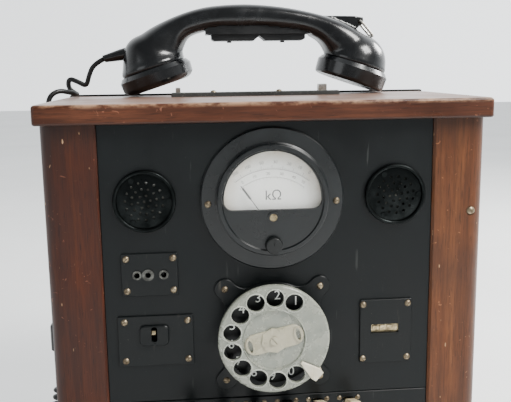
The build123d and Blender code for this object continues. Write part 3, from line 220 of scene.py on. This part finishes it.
def nurbs_points(name, route, resolution):
    """Points read from one smooth NURBS spline over a route."""
    curve = bpy.data.curves.new(name, "CURVE")
    curve.dimensions = "3D"
    curve.resolution_u = resolution
    spline = curve.splines.new("NURBS")
    spline.points.add(len(route) - 1)
    for point, place in zip(spline.points, route):
        point.co = (*place, 1.0)
    spline.order_u = 3
    spline.use_endpoint_u = True
    holder = bpy.data.objects.new(name, curve)
    bpy.context.scene.collection.objects.link(holder)
    bpy.context.view_layer.update()
    graph = bpy.context.evaluated_depsgraph_get()
    mesh = bpy.data.meshes.new_from_object(holder.evaluated_get(graph))
    points = [v.co.copy() for v in mesh.vertices]
    bpy.data.objects.remove(holder)
    bpy.data.curves.remove(curve)
    bpy.data.meshes.remove(mesh)
    return points


def evenly(points, step):
    """The same line with points a fixed step apart."""
    result = [points[0]]
    carry = 0.0
    for before, after in zip(points, points[1:]):
        gap = (after - before).length
        place = step - carry
        while place <= gap:
            result.append(before.lerp(after, place / gap))
            place += step
        carry = gap - (place - step)
    result.append(points[-1])
    return result


route_line = nurbs_points("cord_route", lead_route + coil_route, 48)
step = 0.0003
line = evenly(route_line, step)
lead_end = min(range(len(line)), key=lambda i: (line[i] - Vector((-0.1706, 0.0418, 0.2780))).length)
coil_start = lead_end * step
coil_end = (len(line) - 1) * step - 0.013
turns = 55
cord_path = []
across = Vector((1, 0, 0))
for index, point in enumerate(line):
    ahead = line[min(index + 2, len(line) - 1)]
    behind = line[max(index - 2, 0)]
    tangent = (ahead - behind).normalized()
    across = (across - tangent * across.dot(tangent)).normalized()
    other = tangent.cross(across)
    here = index * step
    if here <= coil_start or here >= coil_end:
        if index % 4 == 0 or index == len(line) - 1:
            cord_path.append(point.copy())
        continue
    share = (here - coil_start) / (coil_end - coil_start)
    ramp_in = min(1.0, (here - coil_start) / 0.010)
    ramp_out = min(1.0, (coil_end - here) / 0.010)
    swell = min(ramp_in, ramp_out)
    swell = swell * swell * (3 - 2 * swell)
    angle = 2 * pi * turns * share
    cord_path.append(point + (across * cos(angle) + other * sin(angle)) * helix_radius * swell)

vertices, faces = sweep_tube(cord_path, cord_radius, 10)
handset_cord = new_mesh("handset_cord", vertices, faces, None)
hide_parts("cord_lead", "cord_coil")
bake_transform(handset_cord)
measured = sum((b - a).length for a, b in zip(cord_path, cord_path[1:]))
print("cord length", round(measured, 4))

# ---------------------------------------------------------------- handset moulding with soft joints
handle_source = node_objects["handset_handle"]
shell = bpy.data.objects.new("handset_shell", handle_source.data.copy())
shell.data.name = "handset_shell"
bpy.context.scene.collection.objects.link(shell)
remesh = shell.modifiers.new("remesh", "REMESH")
remesh.mode = "VOXEL"
remesh.voxel_size = 0.0011
bpy.context.view_layer.update()
graph = bpy.context.evaluated_depsgraph_get()
shell.data = bpy.data.meshes.new_from_object(shell.evaluated_get(graph))
shell.modifiers.clear()
group = shell.vertex_groups.new(name="soften")
handset_y = centre_of("handset_handle").y
lid_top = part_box("lid")[1][2]
for vertex in shell.data.vertices:
    x, y, z = vertex.co
    height = z - lid_top
    in_pocket = -0.043 < x < 0.056 and abs(y - handset_y) < 0.0135 and height < 0.0625
    on_lug = x > 0.060 and abs(y - handset_y) < 0.0045 and height > 0.056
    at_seat = height < 0.024 - 0.30 * (x - 0.0866) if x > 0 else height < 0.021 + 0.33 * (x + 0.0796)
    group.add([vertex.index], 0.0 if in_pocket or on_lug or at_seat else 1.0, "REPLACE")
soften = shell.modifiers.new("soften", "SMOOTH")
soften.factor = 0.5
soften.iterations = 34
soften.vertex_group = "soften"
bpy.context.view_layer.update()
graph = bpy.context.evaluated_depsgraph_get()
shell.data = bpy.data.meshes.new_from_object(shell.evaluated_get(graph))
shell.modifiers.clear()
for polygon in shell.data.polygons:
    polygon.use_smooth = True
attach(shell, "handset")
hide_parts("handset_handle")


# ---------------------------------------------------------------- material helpers
def start_material(name):
    """An empty node material: its tree, its shader and its object coordinates."""
    material = bpy.data.materials.new(name)
    material.use_nodes = True
    tree = material.node_tree
    shader = next(node for node in tree.nodes if node.type == "BSDF_PRINCIPLED")
    coordinates = tree.nodes.new("ShaderNodeTexCoord").outputs["Object"]
    return material, tree, shader, coordinates


def stretched(tree, coordinates, scale, turn=(0, 0, 0)):
    """Coordinates scaled by a different factor along each axis."""
    mapping = tree.nodes.new("ShaderNodeMapping")
    mapping.inputs["Scale"].default_value = scale
    mapping.inputs["Rotation"].default_value = turn
    tree.links.new(coordinates, mapping.inputs["Vector"])
    return mapping.outputs["Vector"]


def noise(tree, coordinates, scale, detail=4.0, roughness=0.55, distortion=0.0):
    """Noise as a number from 0 to 1."""
    node = tree.nodes.new("ShaderNodeTexNoise")
    node.inputs["Scale"].default_value = scale
    node.inputs["Detail"].default_value = detail
    node.inputs["Roughness"].default_value = roughness
    node.inputs["Distortion"].default_value = distortion
    tree.links.new(coordinates, node.inputs["Vector"])
    return node.outputs["Fac"]


def ramp(tree, value, stops):
    """Colours along a number."""
    node = tree.nodes.new("ShaderNodeValToRGB")
    elements = node.color_ramp.elements
    while len(elements) < len(stops):
        elements.new(0.5)
    for element, (place, colour) in zip(elements, stops):
        element.position = place
        element.color = (*colour, 1.0)
    tree.links.new(value, node.inputs["Fac"])
    return node.outputs["Color"]


def grey_ramp(tree, value, stops):
    """Numbers along a number."""
    return ramp(tree, value, [(place, (level, level, level)) for place, level in stops])


def mixed(tree, share, first, second, mode="MIX"):
    """Two colours mixed by a number or a socket."""
    node = tree.nodes.new("ShaderNodeMix")
    node.data_type = "RGBA"
    node.blend_type = mode
    for socket, value in ((node.inputs[0], share), (node.inputs[6], first), (node.inputs[7], second)):
        if isinstance(value, bpy.types.NodeSocket):
            tree.links.new(value, socket)
        elif isinstance(value, tuple):
            socket.default_value = (*value, 1.0)
        else:
            socket.default_value = value
    return node.outputs[2]


def combine(tree, operation, first, second):
    """A math node on sockets or numbers."""
    node = tree.nodes.new("ShaderNodeMath")
    node.operation = operation
    for socket, value in zip(node.inputs, (first, second)):
        if isinstance(value, bpy.types.NodeSocket):
            tree.links.new(value, socket)
        else:
            socket.default_value = value
    return node.outputs[0]


def bump(tree, shader, height, strength, distance):
    """A bump on a shader's normal."""
    node = tree.nodes.new("ShaderNodeBump")
    node.inputs["Strength"].default_value = strength
    node.inputs["Distance"].default_value = distance
    tree.links.new(height, node.inputs["Height"])
    tree.links.new(node.outputs["Normal"], shader.inputs["Normal"])


def fade(tree, value, low, high):
    """0 below low, 1 above high, or the other way round when low is more than high."""
    node = tree.nodes.new("ShaderNodeMapRange")
    node.inputs["From Min"].default_value = low
    node.inputs["From Max"].default_value = high
    node.clamp = True
    tree.links.new(value, node.inputs["Value"])
    return node.outputs["Result"]


def axis_values(tree, coordinates):
    """The three coordinates as numbers."""
    node = tree.nodes.new("ShaderNodeSeparateXYZ")
    tree.links.new(coordinates, node.inputs[0])
    return node.outputs


def wood(name, dark, middle, light, grain, gloss=0.42, wear_and_painted_light=None, offset=0.0, shine=0.3):
    """Stained, varnished wood with pores, bands, dirt and scratches along its grain."""
    material, tree, shader, coordinates = start_material(name)
    shader.inputs["Specular IOR Level"].default_value = shine
    squeeze = 0.055
    scale = {"X": (squeeze, 1, 1), "Z": (1, 1, squeeze), "Y": (1, squeeze, 1)}[grain]
    along = stretched(tree, coordinates, scale)
    shifted = tree.nodes.new("ShaderNodeVectorMath")
    shifted.operation = "ADD"
    shifted.inputs[1].default_value = (offset, offset, offset)
    tree.links.new(along, shifted.inputs[0])
    along = shifted.outputs[0]
    bands = noise(tree, along, 62.0, 6.0, 0.62, 1.1)
    fibres = noise(tree, along, 520.0, 3.0, 0.7)
    pores = noise(tree, along, 1500.0, 2.0, 0.6)
    blotches = noise(tree, coordinates, 14.0, 3.0, 0.5)
    colour = ramp(tree, bands, [(0.28, dark), (0.5, middle), (0.74, light)])
    fibre_share = grey_ramp(tree, fibres, [(0.35, 0.55), (0.62, 0.0)])
    colour = mixed(tree, fibre_share, colour, tuple(c * 0.45 for c in dark))
    pore_share = grey_ramp(tree, pores, [(0.30, 0.75), (0.42, 0.0)])
    colour = mixed(tree, pore_share, colour, tuple(c * 0.25 for c in dark))
    blotch_share = grey_ramp(tree, blotches, [(0.36, 0.5), (0.62, 0.0)])
    colour = mixed(tree, blotch_share, colour, tuple(c * 0.55 for c in dark))
    marks = noise(tree, stretched(tree, coordinates, (1, 1, 1)), 170.0, 2.0, 0.4, 2.0)
    mark_share = grey_ramp(tree, marks, [(0.70, 0.0), (0.76, 0.55)])
    colour = mixed(tree, mark_share, colour, tuple(min(1.0, c * 1.7 + 0.03) for c in light))
    # The hook passed in adds worn spots together with painted light and shade.
    if wear_and_painted_light:
        colour = wear_and_painted_light(tree, coordinates, colour)
    tree.links.new(colour, shader.inputs["Base Color"])
    rough = grey_ramp(tree, blotches, [(0.3, gloss - 0.07), (0.7, gloss + 0.14)])
    tree.links.new(rough, shader.inputs["Roughness"])
    height = mixed(tree, 0.5, fibres, pores)
    bump(tree, shader, height, 0.28, 0.00035)
    return material


def painted(name, base, worn, rough=0.42, speck=0.66, metallic=0.0, coat=0.0, speck_scale=750.0, shine=0.22):
    """Old paint or enamel: orange peel, dust and specks where it has worn."""
    material, tree, shader, coordinates = start_material(name)
    shader.inputs["Metallic"].default_value = metallic
    shader.inputs["Specular IOR Level"].default_value = shine
    shader.inputs["Coat Weight"].default_value = coat
    shader.inputs["Coat Roughness"].default_value = 0.2
    clouds = noise(tree, coordinates, 28.0, 5.0, 0.6)
    specks = noise(tree, coordinates, speck_scale, 3.0, 0.6)
    scratches = noise(tree, stretched(tree, coordinates, (1, 1, 0.08), (0, 0.5, 0)), 420.0, 2.0, 0.5)
    peel = noise(tree, coordinates, 1400.0, 2.0, 0.5)
    lighter = tuple(c * 1.8 + 0.001 for c in base)
    colour = ramp(tree, clouds, [(0.35, base), (0.72, lighter)])
    colour = mixed(tree, grey_ramp(tree, specks, [(speck, 0.0), (speck + 0.05, 0.8)]), colour, worn)
    colour = mixed(tree, grey_ramp(tree, scratches, [(0.70, 0.0), (0.76, 0.4)]), colour, worn)
    tree.links.new(colour, shader.inputs["Base Color"])
    level = grey_ramp(tree, clouds, [(0.3, rough - 0.08), (0.7, rough + 0.14)])
    tree.links.new(level, shader.inputs["Roughness"])
    bump(tree, shader, mixed(tree, 0.5, peel, specks), 0.22, 0.00025)
    return material


def moulded(name, base, haze, rough=0.2, smudge=0.22, dust=0.5, shine=0.3, coat=0.08):
    """Polished moulded plastic with smudges, fine scratches and a little dust."""
    material, tree, shader, coordinates = start_material(name)
    shader.inputs["IOR"].default_value = 1.5
    shader.inputs["Specular IOR Level"].default_value = shine
    shader.inputs["Coat Weight"].default_value = coat
    shader.inputs["Coat Roughness"].default_value = 0.12
    smears = noise(tree, coordinates, 42.0, 5.0, 0.62, 0.8)
    grains = noise(tree, coordinates, 1600.0, 2.0, 0.6)
    hairs = noise(tree, stretched(tree, coordinates, (0.1, 1, 1), (0.3, 0.2, 0.4)), 900.0, 2.0, 0.5)
    colour = mixed(tree, grey_ramp(tree, smears, [(0.45, 0.0), (0.75, 1.0)]), base, haze)
    dust_share = grey_ramp(tree, grains, [(0.66, 0.0), (0.74, dust)])
    colour = mixed(tree, dust_share, colour, tuple(c * 3 + 0.03 for c in haze))
    tree.links.new(colour, shader.inputs["Base Color"])
    level = grey_ramp(tree, smears, [(0.3, rough), (0.72, rough + smudge)])
    tree.links.new(level, shader.inputs["Roughness"])
    bump(tree, shader, mixed(tree, 0.4, hairs, grains), 0.1, 0.0001)
    return material


def metal(name, bright, tarnish, rough=0.28, share=0.5, scale=260.0):
    """Worn bare or plated metal with tarnish in patches."""
    material, tree, shader, coordinates = start_material(name)
    shader.inputs["Metallic"].default_value = 1.0
    patches = noise(tree, coordinates, scale, 5.0, 0.65)
    brush = noise(tree, stretched(tree, coordinates, (1, 1, 0.05)), 1800.0, 2.0, 0.5)
    colour = ramp(tree, patches, [(share - 0.14, bright), (share + 0.16, tarnish)])
    tree.links.new(colour, shader.inputs["Base Color"])
    level = grey_ramp(tree, patches, [(0.35, rough), (0.7, rough + 0.3)])
    tree.links.new(level, shader.inputs["Roughness"])
    bump(tree, shader, mixed(tree, 0.5, brush, patches), 0.15, 0.0001)
    return material


def dress(material, *nodes):
    """Gives CAD nodes a material."""
    for node in nodes:
        piece = node_objects[node] if isinstance(node, str) else node
        slots = piece.data.materials
        if len(slots) == 0:
            slots.append(material)
        for index in range(len(slots)):
            slots[index] = material
        for polygon in piece.data.polygons if not isinstance(node, str) else []:
            polygon.material_index = 0


# ---------------------------------------------------------------- materials
lid_low, lid_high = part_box("lid")


def lid_wear_sheen_and_shade(tree, coordinates, colour):
    """Varnish rubbed away along the lid's top edges, a paler top face that is painted sheen, and painted
    shade along the lower edge.
    """
    x, y, z = axis_values(tree, coordinates)
    rub = noise(tree, stretched(tree, coordinates, (0.5, 1, 1)), 120.0, 5.0, 0.65)
    near_top = fade(tree, z, lid_high[2] - 0.0035, lid_high[2] - 0.0006)
    near_front = fade(tree, y, lid_low[1] + 0.0045, lid_low[1] + 0.0008)
    edge = combine(tree, "MULTIPLY", near_top, near_front)
    broken = combine(tree, "MULTIPLY", edge, fade(tree, rub, 0.42, 0.58))
    colour = mixed(tree, broken, colour, (0.34, 0.20, 0.12))
    # painted sheen: the top face is mixed toward a paler, greyer brown for light glancing off the lid's top
    top = fade(tree, z, lid_high[2] - 0.0008, lid_high[2] - 0.0001)
    painted_top_sheen = combine(tree, "MULTIPLY", top, 0.42)
    colour = mixed(tree, painted_top_sheen, colour, (0.30, 0.20, 0.155))
    # painted shade: the lid's lower edge is darkened where the overhang's shadow falls
    lower_edge_painted_shade = fade(tree, z, lid_low[2] + 0.0022, lid_low[2] + 0.0004)
    return mixed(tree, combine(tree, "MULTIPLY", lower_edge_painted_shade, 0.7), colour, (0.015, 0.006, 0.004))


def post_nicks_and_painted_shade(tree, coordinates, colour):
    """Painted shade under the lid, and small pale nicks."""
    x, y, z = axis_values(tree, coordinates)
    # painted shade: each post darkens toward its top, just under the lid's overhang
    painted_shade_under_lid = fade(tree, z, 0.262, 0.286)
    colour = mixed(tree, combine(tree, "MULTIPLY", painted_shade_under_lid, 0.55), colour, (0.012, 0.005, 0.003))
    nicks = noise(tree, stretched(tree, coordinates, (1, 1, 0.35)), 330.0, 2.0, 0.5)
    return mixed(tree, grey_ramp(tree, nicks, [(0.72, 0.0), (0.77, 0.8)]), colour, (0.45, 0.28, 0.15))


dress(
    wood(
        "lid_wood",
        (0.040, 0.010, 0.0035),
        (0.085, 0.024, 0.0085),
        (0.145, 0.048, 0.020),
        "X",
        0.34,
        lid_wear_sheen_and_shade,
    ),
    "lid",
)
# The two posts are copies of one wood: the left copy's darker colours are painted shade and the right copy's
# lighter colours are painted light from the right.
dress(
    wood(
        "left_post_wood_painted_shade",
        (0.026, 0.0045, 0.0006),
        (0.055, 0.010, 0.0010),
        (0.095, 0.022, 0.003),
        "Z",
        0.42,
        post_nicks_and_painted_shade,
    ),
    "post_left",
    "side_wall_left",
)
dress(
    wood(
        "right_post_wood_painted_light",
        (0.060, 0.016, 0.003),
        (0.115, 0.034, 0.008),
        (0.175, 0.060, 0.017),
        "Z",
        0.40,
        post_nicks_and_painted_shade,
        3.7,
    ),
    "post_right",
    "side_wall_right",
)
base_wood = wood("base_wood", (0.06, 0.03, 0.015), (0.10, 0.05, 0.025), (0.15, 0.08, 0.045), "X", 0.6)
dress(base_wood, "base_board")

panel_black = painted("panel_black", (0.0012, 0.0021, 0.0024), (0.050, 0.054, 0.050), 0.40, 0.70)
plate_black = painted("plate_black", (0.0018, 0.0026, 0.0028), (0.060, 0.056, 0.046), 0.36, 0.69)
dress(panel_black, "front_panel", "key_panel")
dress(plate_black, "jack_plate", "switch_plate", "slot_plate", "dial_plate")
dress(painted("back_black", (0.010, 0.010, 0.010), (0.06, 0.055, 0.05), 0.6), "back_panel")
dress(painted("bar_grey", (0.030, 0.031, 0.030), (0.20, 0.19, 0.17), 0.34, 0.62), "hook_bar")
dress(
    moulded("meter_black", (0.0020, 0.0030, 0.0034), (0.0060, 0.0080, 0.0088), 0.20, 0.25, 0.3, 0.35, 0.15),
    "meter_housing",
)
dress(
    moulded("case_black", (0.0018, 0.0022, 0.0022), (0.006, 0.007, 0.007), 0.24),
    "dial_case",
    "cord_gland",
    "meter_knob",
)
handset_black = moulded(
    "handset_black", (0.0014, 0.0017, 0.0022), (0.0045, 0.0055, 0.0068), 0.14, 0.20, 0.25, 0.45, 0.2
)
dress(handset_black, "ear_cap", "mouth_cap", "cord_relief", shell)
dress(
    moulded("bar_black", (0.005, 0.0055, 0.006), (0.016, 0.017, 0.018), 0.3),
    "talk_bar",
    "talk_bar_housing",
)
dress(
    moulded("key_black", (0.0022, 0.0024, 0.0028), (0.007, 0.007, 0.007), 0.2),
    *[f"key_lever_{n}" for n in range(1, 5)],
)
dress(moulded("key_cream", (0.62, 0.52, 0.34), (0.50, 0.40, 0.24), 0.25), "key_lever_5", "key_lever_6")
dress(moulded("cord_black", (0.0025, 0.0025, 0.0025), (0.007, 0.007, 0.007), 0.34), handset_cord)
dress(moulded("foot_rubber", (0.010, 0.010, 0.010), (0.02, 0.02, 0.02), 0.6), "rubber_feet")
dress(
    metal("old_brass", (0.34, 0.28, 0.19), (0.10, 0.075, 0.050), 0.32, 0.5),
    "small_screws",
    "wood_screws",
    "key_screws",
)
dress(
    metal("toggle_brass", (0.50, 0.42, 0.26), (0.16, 0.12, 0.07), 0.3),
    "switch_toggle",
    "lamp_strip",
    "meter_zero_screw",
)
dress(metal("bush_nickel", (0.12, 0.12, 0.11), (0.03, 0.03, 0.028), 0.3), "socket_bushes")
dress(
    metal("grille_black", (0.014, 0.016, 0.016), (0.005, 0.006, 0.006), 0.26, 0.5, 90.0),
    "speaker_grilles",
)
dress(
    metal("nickel", (0.62, 0.61, 0.57), (0.26, 0.24, 0.20), 0.22),
    "hanging_ring",
    "hook_plunger_left",
    "hook_plunger_right",
    "handset_capsules",
    "capsule_units",
    "meter_can",
    "key_frames",
    "dial_mainspring",
    "dial_shaft",
    "impulse_arbor",
    "governor",
    "meter_magnet",
)
dress(moulded("pointer_black", (0.02, 0.02, 0.02), (0.03, 0.03, 0.03), 0.4), "meter_pointer")
dress(painted("number_black", (0.0016, 0.0020, 0.0022), (0.03, 0.03, 0.028), 0.3, 0.73), "number_plate")


def rim_darkened_card(name):
    """A white scale card, darker and browner towards its rim."""
    material, tree, shader, coordinates = start_material(name)
    x, y, z = axis_values(tree, coordinates)
    meter = centre_of("meter_housing")
    from_x = combine(tree, "SUBTRACT", x, meter.x)
    from_z = combine(tree, "SUBTRACT", z, meter.z)
    square_x = combine(tree, "MULTIPLY", from_x, from_x)
    square_z = combine(tree, "MULTIPLY", from_z, from_z)
    squares = combine(tree, "ADD", square_x, square_z)
    radius = combine(tree, "SQRT", squares, 0.0)
    # darker, browner colour towards the card's rim, by distance from the meter's centre
    rim = fade(tree, radius, 0.024, 0.0345)
    blotches = noise(tree, coordinates, 90.0, 5.0, 0.6)
    rim_darkening = combine(tree, "MULTIPLY", rim, grey_ramp(tree, blotches, [(0.30, 0.25), (0.70, 0.95)]))
    base = ramp(tree, blotches, [(0.3, (0.86, 0.86, 0.82)), (0.7, (0.93, 0.93, 0.91))])
    colour = mixed(tree, rim_darkening, base, (0.52, 0.42, 0.27))
    tree.links.new(colour, shader.inputs["Base Color"])
    shader.inputs["Roughness"].default_value = 0.55
    bump(tree, shader, noise(tree, coordinates, 2200.0, 2.0), 0.05, 0.0001)
    return material


dress(rim_darkened_card("scale_card"), "meter_scale")


def clear_aged(name, base, haze, transmission, rough, alpha=1.0):
    """Clear plastic or glass gone dull: haze, scratches and grime."""
    material, tree, shader, coordinates = start_material(name)
    shader.inputs["Transmission Weight"].default_value = transmission
    shader.inputs["IOR"].default_value = 1.49
    shader.inputs["Alpha"].default_value = alpha
    clouds = noise(tree, coordinates, 120.0, 5.0, 0.65)
    hairs = noise(tree, stretched(tree, coordinates, (1, 1, 0.1), (0, 0.6, 0)), 900.0, 3.0, 0.6)
    colour = ramp(tree, clouds, [(0.35, base), (0.70, haze)])
    scuff_share = grey_ramp(tree, hairs, [(0.62, 0.0), (0.72, 0.5)])
    colour = mixed(tree, scuff_share, colour, tuple(min(1.0, c * 1.5) for c in haze))
    tree.links.new(colour, shader.inputs["Base Color"])
    level = grey_ramp(tree, clouds, [(0.3, rough), (0.7, rough + 0.2)])
    tree.links.new(level, shader.inputs["Roughness"])
    bump(tree, shader, mixed(tree, 0.5, hairs, clouds), 0.12, 0.0002)
    return material


wheel_plastic = clear_aged("wheel_plastic", (0.30, 0.32, 0.27), (0.42, 0.43, 0.36), 0.35, 0.16)
dress(wheel_plastic, "finger_wheel")
dress(clear_aged("hub_plastic", (0.40, 0.37, 0.26), (0.52, 0.48, 0.36), 0.15, 0.24), "dial_hub_clip")
dress(clear_aged("stop_cream", (0.66, 0.62, 0.50), (0.56, 0.50, 0.36), 0.0, 0.28), "finger_stop")
dress(clear_aged("window_glass", (0.9, 0.92, 0.9), (0.8, 0.8, 0.76), 0.0, 0.04, 0.10), "meter_glass")

# ---------------------------------------------------------------- numerals on the dial
dial = centre_of("finger_wheel")
plate_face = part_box("number_plate")[0][1]
numeral_turn = -5.0
first_hole_angle = 62.0
hole_step_angle = 26.5
hole_circle_radius = 0.0304
numeral_radius = 0.0304
letters = []
for index in range(10):
    angle = radians(first_hole_angle + hole_step_angle * index + numeral_turn)
    letters.append(
        text_mesh(
            str((index + 1) % 10),
            0.0094,
            dial.x + numeral_radius * cos(angle),
            dial.z + numeral_radius * sin(angle),
            plate_face - 0.00004,
        )
    )
vertices, faces = joined(letters)
numerals = new_mesh("dial_numerals", vertices, faces, "cabinet", smooth=False)
dress(painted("numeral_white", (0.62, 0.63, 0.60), (0.40, 0.38, 0.32), 0.4, 0.72), numerals)


# ---------------------------------------------------------------- pale rings on the finger holes' rims: a painted highlight
def ring_mesh(centre, radius, thickness, around=48, section=8):
    """A thin ring facing -Y."""
    vertices = []
    faces = []
    for i in range(around):
        turn = 2 * pi * i / around
        outward = Vector((cos(turn), 0, sin(turn)))
        for j in range(section):
            lean = 2 * pi * j / section
            vertices.append(
                centre + outward * (radius + thickness * cos(lean)) + Vector((0, thickness * sin(lean), 0))
            )
    for i in range(around):
        for j in range(section):
            a = i * section + j
            b = ((i + 1) % around) * section + j
            c = ((i + 1) % around) * section + (j + 1) % section
            d = i * section + (j + 1) % section
            faces.append((a, b, c, d))
    return vertices, faces


wheel_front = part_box("finger_wheel")[0][1]
rims = []
for index in range(10):
    angle = radians(first_hole_angle + hole_step_angle * index)
    hole_x = dial.x + hole_circle_radius * cos(angle)
    hole_z = dial.z + hole_circle_radius * sin(angle)
    place = Vector((hole_x, wheel_front + 0.0004, hole_z))
    rims.append(ring_mesh(place, 0.00668, 0.00042))
vertices, faces = joined(rims)
# painted highlight: the pale rings stand in for glints on the finger holes' rims
hole_rim_highlights = new_mesh("finger_hole_rim_highlights", vertices, faces, "dial_rotor")
dress(clear_aged("rim_painted_highlight", (0.72, 0.74, 0.68), (0.80, 0.80, 0.72), 0.0, 0.12), hole_rim_highlights)

# ---------------------------------------------------------------- printing on the meter's scale
meter = centre_of("meter_housing")
pivot_z = meter.z - 0.0212
scale_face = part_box("meter_scale")[0][1] - 0.00003
printing = []


def on_arc(radius, angle):
    """A point on an arc about the pointer's pivot, with the angle from straight up, clockwise."""
    return (meter.x + radius * sin(radians(angle)), pivot_z + radius * cos(radians(angle)))


for arc_radius, width in ((0.0425, 0.00028), (0.0368, 0.00022)):
    pieces = 30
    for index in range(pieces):
        first = on_arc(arc_radius, -38 + 76 * index / pieces)
        second = on_arc(arc_radius, -38 + 76 * (index + 1.06) / pieces)
        printing.append(bar_mesh(*first, *second, width, scale_face))
for index in range(39):
    angle = -38 + 2 * index
    long_mark = index % 5 == 4
    inner = on_arc(0.0425, angle)
    outer = on_arc(0.0425 + (0.0026 if long_mark else 0.0014), angle)
    printing.append(bar_mesh(*inner, *outer, 0.00028 if long_mark else 0.0002, scale_face))
    if index % 2 == 0:
        inner = on_arc(0.0368, angle)
        outer = on_arc(0.0368 - 0.0012, angle)
        printing.append(bar_mesh(*inner, *outer, 0.0002, scale_face))
for words, angle in (("200", -33), ("100", -21), ("50", -9), ("30", 3), ("20", 15), ("10", 25), ("0", 34)):
    x, z = on_arc(0.0475, angle)
    printing.append(text_mesh(words, 0.0030, x, z, scale_face, turn=-radians(angle)))
for words, angle in (("0", -32), ("10", -18), ("20", -4), ("30", 10), ("40", 23), ("50", 34)):
    x, z = on_arc(0.0395, angle)
    printing.append(text_mesh(words, 0.0028, x, z, scale_face, turn=-radians(angle)))
vertices, faces = joined(printing)
scale_print = new_mesh("scale_print", vertices, faces, "cabinet", smooth=False)
dress(painted("print_grey", (0.13, 0.125, 0.115), (0.3, 0.28, 0.24), 0.6, 0.7), scale_print)
vertices, faces = text_mesh("kΩ", 0.0098, meter.x + 0.0008, meter.z + 0.0030, scale_face)
unit_print = new_mesh("unit_print", vertices, faces, "cabinet", smooth=False)
dress(painted("print_black", (0.02, 0.02, 0.02), (0.1, 0.1, 0.09), 0.6, 0.7), unit_print)

# ---------------------------------------------------------------- floor, light and backdrop
floor_size = 6.0
floor = new_mesh(
    "floor",
    [(x * floor_size, y * floor_size, 0) for x, y in ((-1, -1), (1, -1), (1, 1), (-1, 1))],
    [(0, 1, 2, 3)],
    None,
    smooth=False,
)
material, tree, shader, coordinates = start_material("floor_pale")
cloud = noise(tree, coordinates, 3.0, 3.0)
floor_colour = ramp(tree, cloud, [(0.3, (0.78, 0.79, 0.79)), (0.7, (0.84, 0.85, 0.85))])
tree.links.new(floor_colour, shader.inputs["Base Color"])
shader.inputs["Roughness"].default_value = 0.7
floor.data.materials.append(material)

world = bpy.data.worlds.new("studio")
world.use_nodes = True
sky_tree = world.node_tree
backdrop = sky_tree.nodes["Background"]
direction = sky_tree.nodes.new("ShaderNodeTexCoord").outputs["Generated"]
sky_parts = sky_tree.nodes.new("ShaderNodeSeparateXYZ")
sky_tree.links.new(direction, sky_parts.inputs[0])
behind = fade(sky_tree, sky_parts.outputs["Y"], -0.25, 0.45)
right_side = fade(sky_tree, sky_parts.outputs["X"], -0.75, 0.45)
sky_level = combine(sky_tree, "ADD", combine(sky_tree, "MULTIPLY", behind, 1.75), 0.38)
right_gain = combine(sky_tree, "ADD", combine(sky_tree, "MULTIPLY", right_side, 0.55), 0.72)
sky_tree.links.new(combine(sky_tree, "MULTIPLY", sky_level, right_gain), backdrop.inputs["Strength"])
backdrop.inputs["Color"].default_value = (0.95, 0.98, 1.0, 1.0)
bpy.context.scene.world = world


def softbox(name, place, target, size, power, colour=(1, 1, 1)):
    """A rectangular area light aimed at a point."""
    data = bpy.data.lights.new(name, "AREA")
    data.shape = "RECTANGLE"
    data.size, data.size_y = size
    data.energy = power
    data.color = colour
    lamp = bpy.data.objects.new(name, data)
    lamp.location = place
    lamp.rotation_euler = (Vector(target) - Vector(place)).to_track_quat("-Z", "Y").to_euler()
    bpy.context.scene.collection.objects.link(lamp)


softbox("window_right", (0.95, -0.75, 1.45), (0, 0, 0.2), (0.7, 0.7), 58.0, (1.0, 0.99, 0.96))
softbox("high_right", (1.3, 0.6, 1.0), (0, 0.05, 0.3), (0.6, 0.5), 34.0, (1.0, 0.99, 0.97))
softbox("fill_left", (-1.2, -0.9, 0.7), (0, 0, 0.2), (0.8, 0.8), 4.0, (0.95, 0.98, 1.0))
